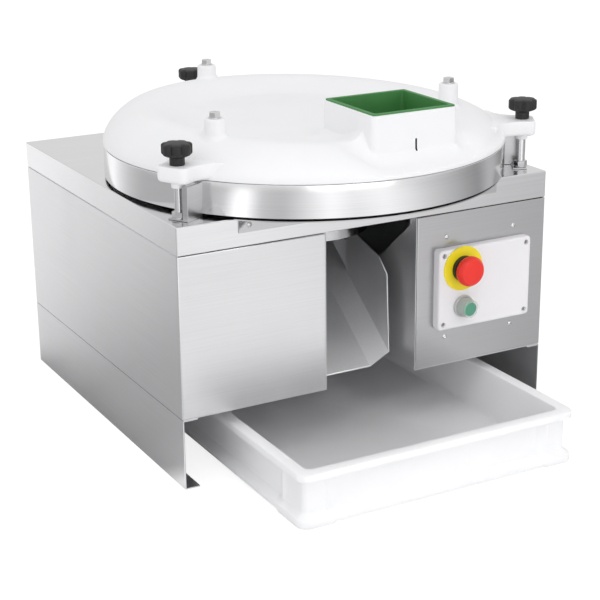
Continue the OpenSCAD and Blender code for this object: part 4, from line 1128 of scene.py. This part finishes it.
bm = bmesh.new()
skin(bm, [cover_loop(*row) for row in cover_rows], cap_first=True, cap_last=True)
cover = to_mesh(bm, "control_box_cover")
cover.materials.append(finish_of["control_cover"])
PIT_R, PIT_DEEP, PIT_OUT = 3.45, 3, 4
pit = [(PIT_R * MM, (face_out - PIT_DEEP) * MM), (PIT_R * MM, (face_out + PIT_OUT) * MM)]
pits = bmesh.new()
for spot in corners:
    turned(pits, pit, 32, facing_front(spot.x, spot.z))
piece("control_box_cover", cut(cover, pits, finish_of["control_cover"]), "control_cover")
print("control box", [round(v / MM) for v in cover_half * 2])

# %% [markdown]
# ## Emergency stop
# A plain yellow disc lies on the cover, a black collar with a wider foot stands on it, and the red
# mushroom head sits over the collar. All three are turned shapes whose axis points out of the front.

# %% Disc, collar and mushroom
STEM_R = 6.1
disc_low, disc_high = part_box("estop_disc")
disc_out = -disc_low.y / MM
DISC_R = (disc_high.x - disc_low.x) / 2 / MM
front_turned("stop_disc", "estop_disc", [
    (STEM_R, face_out, 0), (DISC_R, face_out, 0.3), (DISC_R, disc_out, 0.5), (STEM_R, disc_out, 0)], 3, 96)
COLLAR_R, COLLAR_FOOT_R, COLLAR_FOOT = 14, 17.4, 6
NECK_R = COLLAR_R - 0.4
collar_out = -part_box("estop_collar")[0].y / MM
foot_out = disc_out + COLLAR_FOOT
front_turned("stop_collar", "estop_collar", [
    (STEM_R, disc_out, 0), (COLLAR_FOOT_R, disc_out, 0), (COLLAR_FOOT_R, foot_out, 0.8),
    (NECK_R, foot_out, 0.4), (NECK_R, collar_out, 0.8), (STEM_R, collar_out, 0)], 3, 64)
HEAD_LIFT, HEAD_HOLLOW, HOLLOW_R = 3, 9, COLLAR_R + 0.5
head_low, head_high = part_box("estop_head")
head_seat, head_face = -head_high.y / MM, -head_low.y / MM
head_rim, hollow_out = head_seat + HEAD_LIFT, head_seat + HEAD_HOLLOW
wide = (head_high.x - head_low.x) / 2 / MM
front_turned("stop_mushroom", "estop_head", [
    (POLE, hollow_out, 0), (HOLLOW_R, hollow_out, 0.4), (HOLLOW_R, head_rim, 0.3),
    (wide - 1.2, head_rim, 0.6), (wide, head_rim + 2.4, 1.6), (wide, head_face - 6.0, 2.4),
    (wide - 3.6, head_face - 1.1, 2.2), (wide - 6.0, head_face - 0.9, 0.5),
    (wide - 8.5, head_face - 0.3, 2), (6, head_face, 3), (POLE, head_face, 0)], 4, 96, closed=False)
print("stop face stands out", round(head_face - face_out, 1), "mm")

# %% [markdown]
# ## Start button
# A green button works inside a clear rubber boot, which a grey bezel holds. The boot is a thin ribbed
# cap, modelled with both its skins, and it is clear over the button and cloudy round its thick sides.

# %% Bezel, boot and button
BEZEL_R, BEZEL_BORE, SPIGOT_R, SPIGOT = 15, 4.2, 7.8, 3
BOOT_R, BOOT_WALL, BOOT_STEPS = 13.5, 1.2, 64
bezel_out, spigot_out = -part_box("start_bezel")[0].y / MM, face_out - SPIGOT
front_turned("start_ring", "start_bezel", [
    (BEZEL_BORE, spigot_out, 0), (SPIGOT_R, spigot_out, 0), (SPIGOT_R, face_out, 0),
    (BEZEL_R, face_out, 0.3), (BEZEL_R, bezel_out - 0.2, 1.2), (BOOT_R + 0.2, bezel_out, 0.3),
    (BEZEL_BORE, bezel_out, 0)], 3, 64)
boot_low, boot_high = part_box("start_boot")
boot_middle = (boot_low + boot_high) / 2
boot_out = -boot_low.y / MM
boot_outside = [(BOOT_R, bezel_out, 0), (BOOT_R, bezel_out + 3, 0.8), (BOOT_R - 0.9, bezel_out + 4.2, 0.6),
                (BOOT_R - 0.2, bezel_out + 6, 0.8), (BOOT_R - 1.2, bezel_out + 7.4, 0.6),
                (BOOT_R - 0.7, bezel_out + 9.4, 0.8), (BOOT_R - 1.6, boot_out - 1.2, 1.6),
                (BOOT_R - 3.4, boot_out, 1.6), (POLE, boot_out, 0)]
boot_inside = [(POLE, boot_out - BOOT_WALL, 0), (BOOT_R - 3.4, boot_out - BOOT_WALL, 0.8),
               (BOOT_R - 2.6, bezel_out + 9, 0.5), (BOOT_R - 2.6, bezel_out, 0)]
bm = bmesh.new()
turned(bm, eased(boot_outside, 3) + eased(boot_inside, 3), BOOT_STEPS,
       facing_front(boot_middle.x, boot_middle.z), closed=True)
built("start_cap", bm, "start_boot")
BUTTON_R, BUTTON_STEM_R, BUTTON_DEEP = 9.5, 4, 10.1
button_low, button_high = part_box("start_button")
button_out, button_back = -button_low.y / MM, -button_high.y / MM
button_seat = button_out - BUTTON_DEEP
front_turned("start_plunger_green", "start_button", [
    (POLE, button_back, 0), (BUTTON_STEM_R, button_back, 0.4), (BUTTON_STEM_R, button_seat, 0.3),
    (BUTTON_R, button_seat, 0.5), (BUTTON_R, button_out, 1.1), (POLE, button_out, 0)], 4, 64, closed=False)
print("boot stands out", round(boot_out - face_out, 1), "mm")

# %% The boot's clear middle
CLEAR_R, CLOUDY_R = 8 * MM, 12.5 * MM
CLEAR, CLOUDY = 0.05, 0.30
boot_tree = finish_of["start_boot"].node_tree
places = Wire(boot_tree, boot_tree.nodes["Texture Coordinate"].outputs["Object"])
x, z = (places.node("ShaderNodeSeparateXYZ", {}, {"Vector": places}, axis) for axis in ("X", "Z"))
off_x, off_z = x - boot_middle.x, z - boot_middle.z
off_axis = places.math("SQRT", off_x * off_x + off_z * off_z)
cloudiness = off_axis.clamped(CLEAR_R, CLOUDY_R) * CLOUDY + CLEAR
cloudiness.feed(boot_tree.nodes["Principled BSDF"], "Alpha")
print("boot clear within", CLEAR_R, "m")

# %% [markdown]
# ## Dough tray
# The stacking tray has a broad rim, a base edge and a wall set back between them. At the corners the
# wall comes out a little as posts with a rib at their sides, and the base stands on the same corners.
# Every row is a rounded rectangle, and a mask along the loop says where the posts are.

# %% Tray
tray_low, tray_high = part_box("dough_tray")
TRAY = (tray_low + tray_high) / 2
tray_half = (tray_high - tray_low) / 2
TRAY_ROUND = 14
POST_FRONT, POST_SIDE = 38 * MM, 56 * MM
RIB, RIB_SHARE, PANEL_EASE = 5 * MM, -0.7, 3 * MM
rim_up = tray_high.z / MM
tray_rows = [
    (24, 0, 3, 0, 8), (9, 0, 3, 0, 8), (8, 0, 0.4, 2.6, 8), (6.5, 0, 0, 3, 8), (2, 0, 0, 3, 12),
    (0.5, 0, 0.5, 3, 14), (0, 0, 2, 2.6, 14), (0, 0, 9.5, 0, 14), (0.6, 0.2, 10.8, 0, 14),
    (5, 1.2, 13, 0, 11), (8.4, 2.4, 16.5, 0, 9), (9, 3, 21, 0, 8), (9, 3, rim_up - 16, 0, 8),
    (8.2, 2.6, rim_up - 13.4, 0, 9), (2.4, 0.6, rim_up - 10.6, 0, 13), (0.4, 0, rim_up - 9.6, 0, 14),
    (0, 0, rim_up - 8.4, 0, 14), (0, 0, rim_up - 2, 0, 14), (0.6, 0, rim_up - 0.6, 0, 14),
    (2, 0, rim_up, 0, 13), (14, 0, rim_up, 0, 9),
    (16, 0, rim_up - 0.5, 0, 9), (17, 0, rim_up - 2.2, 0, 9), (17.6, 0, 14, 0, 9), (18.6, 0, 8.6, 0, 9),
    (21, 0, 5.8, 0, 9), (25, 0, 5, 0, 8)]


def tray_loop(inset, radius):
    half_x, half_y = tray_half.x - inset * MM, tray_half.y - inset * MM
    loop = frame_loop(half_x, half_y, radius * MM, side=90, corner=8)
    return [p + TRAY.xy for p in loop]


def panel_share(p):
    """0 on the corner posts, 1 on the set-back panels, and below 0 on the ribs."""
    off_x, off_y = tray_half.x - abs(p.x - TRAY.x), tray_half.y - abs(p.y - TRAY.y)
    past = off_x - POST_FRONT if off_x > off_y else off_y - POST_SIDE
    if 0 < past < RIB:
        return RIB_SHARE
    return soft_step(past, RIB, RIB + PANEL_EASE)


shares = [panel_share(p) for p in tray_loop(0, TRAY_ROUND)]
loops = []
for inset, deeper, z, lift, radius in tray_rows:
    post, panel = tray_loop(inset, radius), tray_loop(inset + deeper, radius)
    loops.append([Vector((*a.lerp(b, share), (z + lift * max(0.0, share)) * MM))
                  for a, b, share in zip(post, panel, shares)])
bm = bmesh.new()
skin(bm, loops, cap_first=True, cap_last=True)
built("stacking_tray", bm, "dough_tray")
print("tray", [round(v / MM) for v in tray_half * 2])

# %% [markdown]
# ## Stage
# A white floor and a white surround, with soft light from above and in front. The camera sees the floor
# as white with a faint shadow: part of its light is its own, and the rest is what the lamps leave on it.
# Shiny steel sees a painted reflection in the floor: rays that bounce off it see the floor's white change
# softly with the direction, brighter where a room's windows would be and greyer between them, and a
# painted shadow under the machine itself.

# %% Floor
GLOW, ROOM_LIGHT = 0.82, 1.5
PAPER, THIN_PAPER = 0.93, 0.30
UNDER_X, UNDER_Y, UNDER_MIDDLE = (0.22, 0.34), (0.23, 0.33), 0.10
ROOM_TURNS = [
    (-180, 0.13), (-160, 0.22), (-151, 0.85), (-141, 0.22), (-129, 0.16), (-120, 0.32), (-106, 0.58),
    (-94, 0.42), (-78, 0.52), (-66, 0.42), (-52, 0.27), (-42, 0.2), (-24, 0.08), (-13, 0.02), (0, 0.16),
    (8, 0.14), (18, 0.0), (45, 0.06), (70, 0.25), (112, 0.6), (122, 0.4), (133, 0.25), (146, 0.14),
    (166, 0.13)]
ROOM = [(0.5 + turn / 360, bright) for turn, bright in ROOM_TURNS]


def ray_kinds(tree):
    """Wires that are 1 for a ray off a shiny surface, and for any ray that sees the backdrop."""
    paths = tree.nodes.new("ShaderNodeLightPath")
    straight, mirrored, through = (Wire(tree, paths.outputs["Is " + kind + " Ray"])
                                   for kind in ("Camera", "Glossy", "Transmission"))
    return mirrored, (straight + mirrored + through).clamped(0, 1)


def floor_finish():
    """White paper that glows a little for what looks at it straight or in a mirror."""
    made = bpy.data.materials.new("floor")
    made.use_nodes = True
    tree = made.node_tree
    tree.nodes.remove(tree.nodes["Principled BSDF"])
    mirrored, seen = ray_kinds(tree)
    where = seen.node("ShaderNodeTexCoord", {}, {}, "Object")
    x, y = (where.node("ShaderNodeSeparateXYZ", {}, {"Vector": where}, axis) for axis in ("X", "Y"))
    turn = y.math("ARCTAN2", y, x) * (0.5 / math.pi) + 0.5
    room = turn.node("ShaderNodeValToRGB", {"stops": ROOM}, {"Fac": turn})
    along = y - UNDER_MIDDLE
    inside_x = 1 - x.math("ABSOLUTE", x).clamped(*UNDER_X)
    inside_y = 1 - along.math("ABSOLUTE", along).clamped(*UNDER_Y)
    # For mirrored rays the glow is a painted reflection: the ramp paints bright and grey bands by
    # direction, and the mask paints shade under the machine.
    glow = GLOW * (1 - mirrored) + ROOM_LIGHT * mirrored * (room * (1 - inside_x * inside_y))
    paper, thin = (seen.node("ShaderNodeBsdfDiffuse", {}, {"Color": (tone, tone, tone, 1)})
                   for tone in (PAPER, THIN_PAPER))
    light = seen.node("ShaderNodeEmission", {}, {"Color": (1, 1, 1, 1), "Strength": glow})
    shown = seen.node("ShaderNodeAddShader", {}, {0: thin, 1: light})
    mixed = seen.node("ShaderNodeMixShader", {}, {0: seen, 1: paper, 2: shown})
    tree.links.new(mixed.socket, tree.nodes["Material Output"].inputs["Surface"])
    return made


FLOOR = 6.0
bm = bmesh.new()
bmesh.ops.create_grid(bm, x_segments=1, y_segments=1, size=FLOOR)
floor = bpy.data.objects.new("floor", to_mesh(bm, "floor"))
floor.data.materials.append(floor_finish())
scene.collection.objects.link(floor)
print("floor", 2 * FLOOR, "m wide")

# %% Surround and lamps
SKY, SKY_LIGHT = (0.985, 0.985, 1.0, 1), 0.84
MIRROR_LOSS = 0.2
world = bpy.data.worlds.new("surround")
scene.world = world
world.use_nodes = True
tree = world.node_tree
mirrored, seen = ray_kinds(tree)
soft = seen.node("ShaderNodeBackground", {}, {"Color": SKY, "Strength": SKY_LIGHT})
white_light = 1 - MIRROR_LOSS * mirrored
white = seen.node("ShaderNodeBackground", {}, {"Color": (1, 1, 1, 1), "Strength": white_light})
mixed = seen.node("ShaderNodeMixShader", {}, {0: seen, 1: soft, 2: white})
tree.links.new(mixed.socket, tree.nodes["World Output"].inputs["Surface"])


def softbox(name, place, target, size, watts, spread=180):
    """An area lamp that looks at a target; spread narrows its beam to so many degrees."""
    data = bpy.data.lights.new(name, "AREA")
    data.shape = "RECTANGLE"
    data.size, data.size_y = size
    data.energy = watts
    data.spread = math.radians(spread)
    lamp = bpy.data.objects.new(name, data)
    lamp.location = place
    lamp.rotation_mode = "QUATERNION"
    lamp.rotation_quaternion = (Vector(target) - Vector(place)).to_track_quat("-Z", "Y")
    scene.collection.objects.link(lamp)


MIDDLE = (0, 0.05, 0.2)
softbox("key", (-1.6, -1.4, 2.2), MIDDLE, (1.6, 1.2), 4)
softbox("over", (-0.3, -1.4, 2.4), MIDDLE, (2.0, 1.2), 8)
softbox("tray", (0.1, -2.4, 1.6), (0, -0.25, 0.03), (0.5, 0.3), 0.09, 16)
softbox("low_front", (-0.2, -2.6, 0.55), MIDDLE, (2.2, 0.6), 4.5)
scene.view_settings.view_transform = "Standard"
print("stage ready")
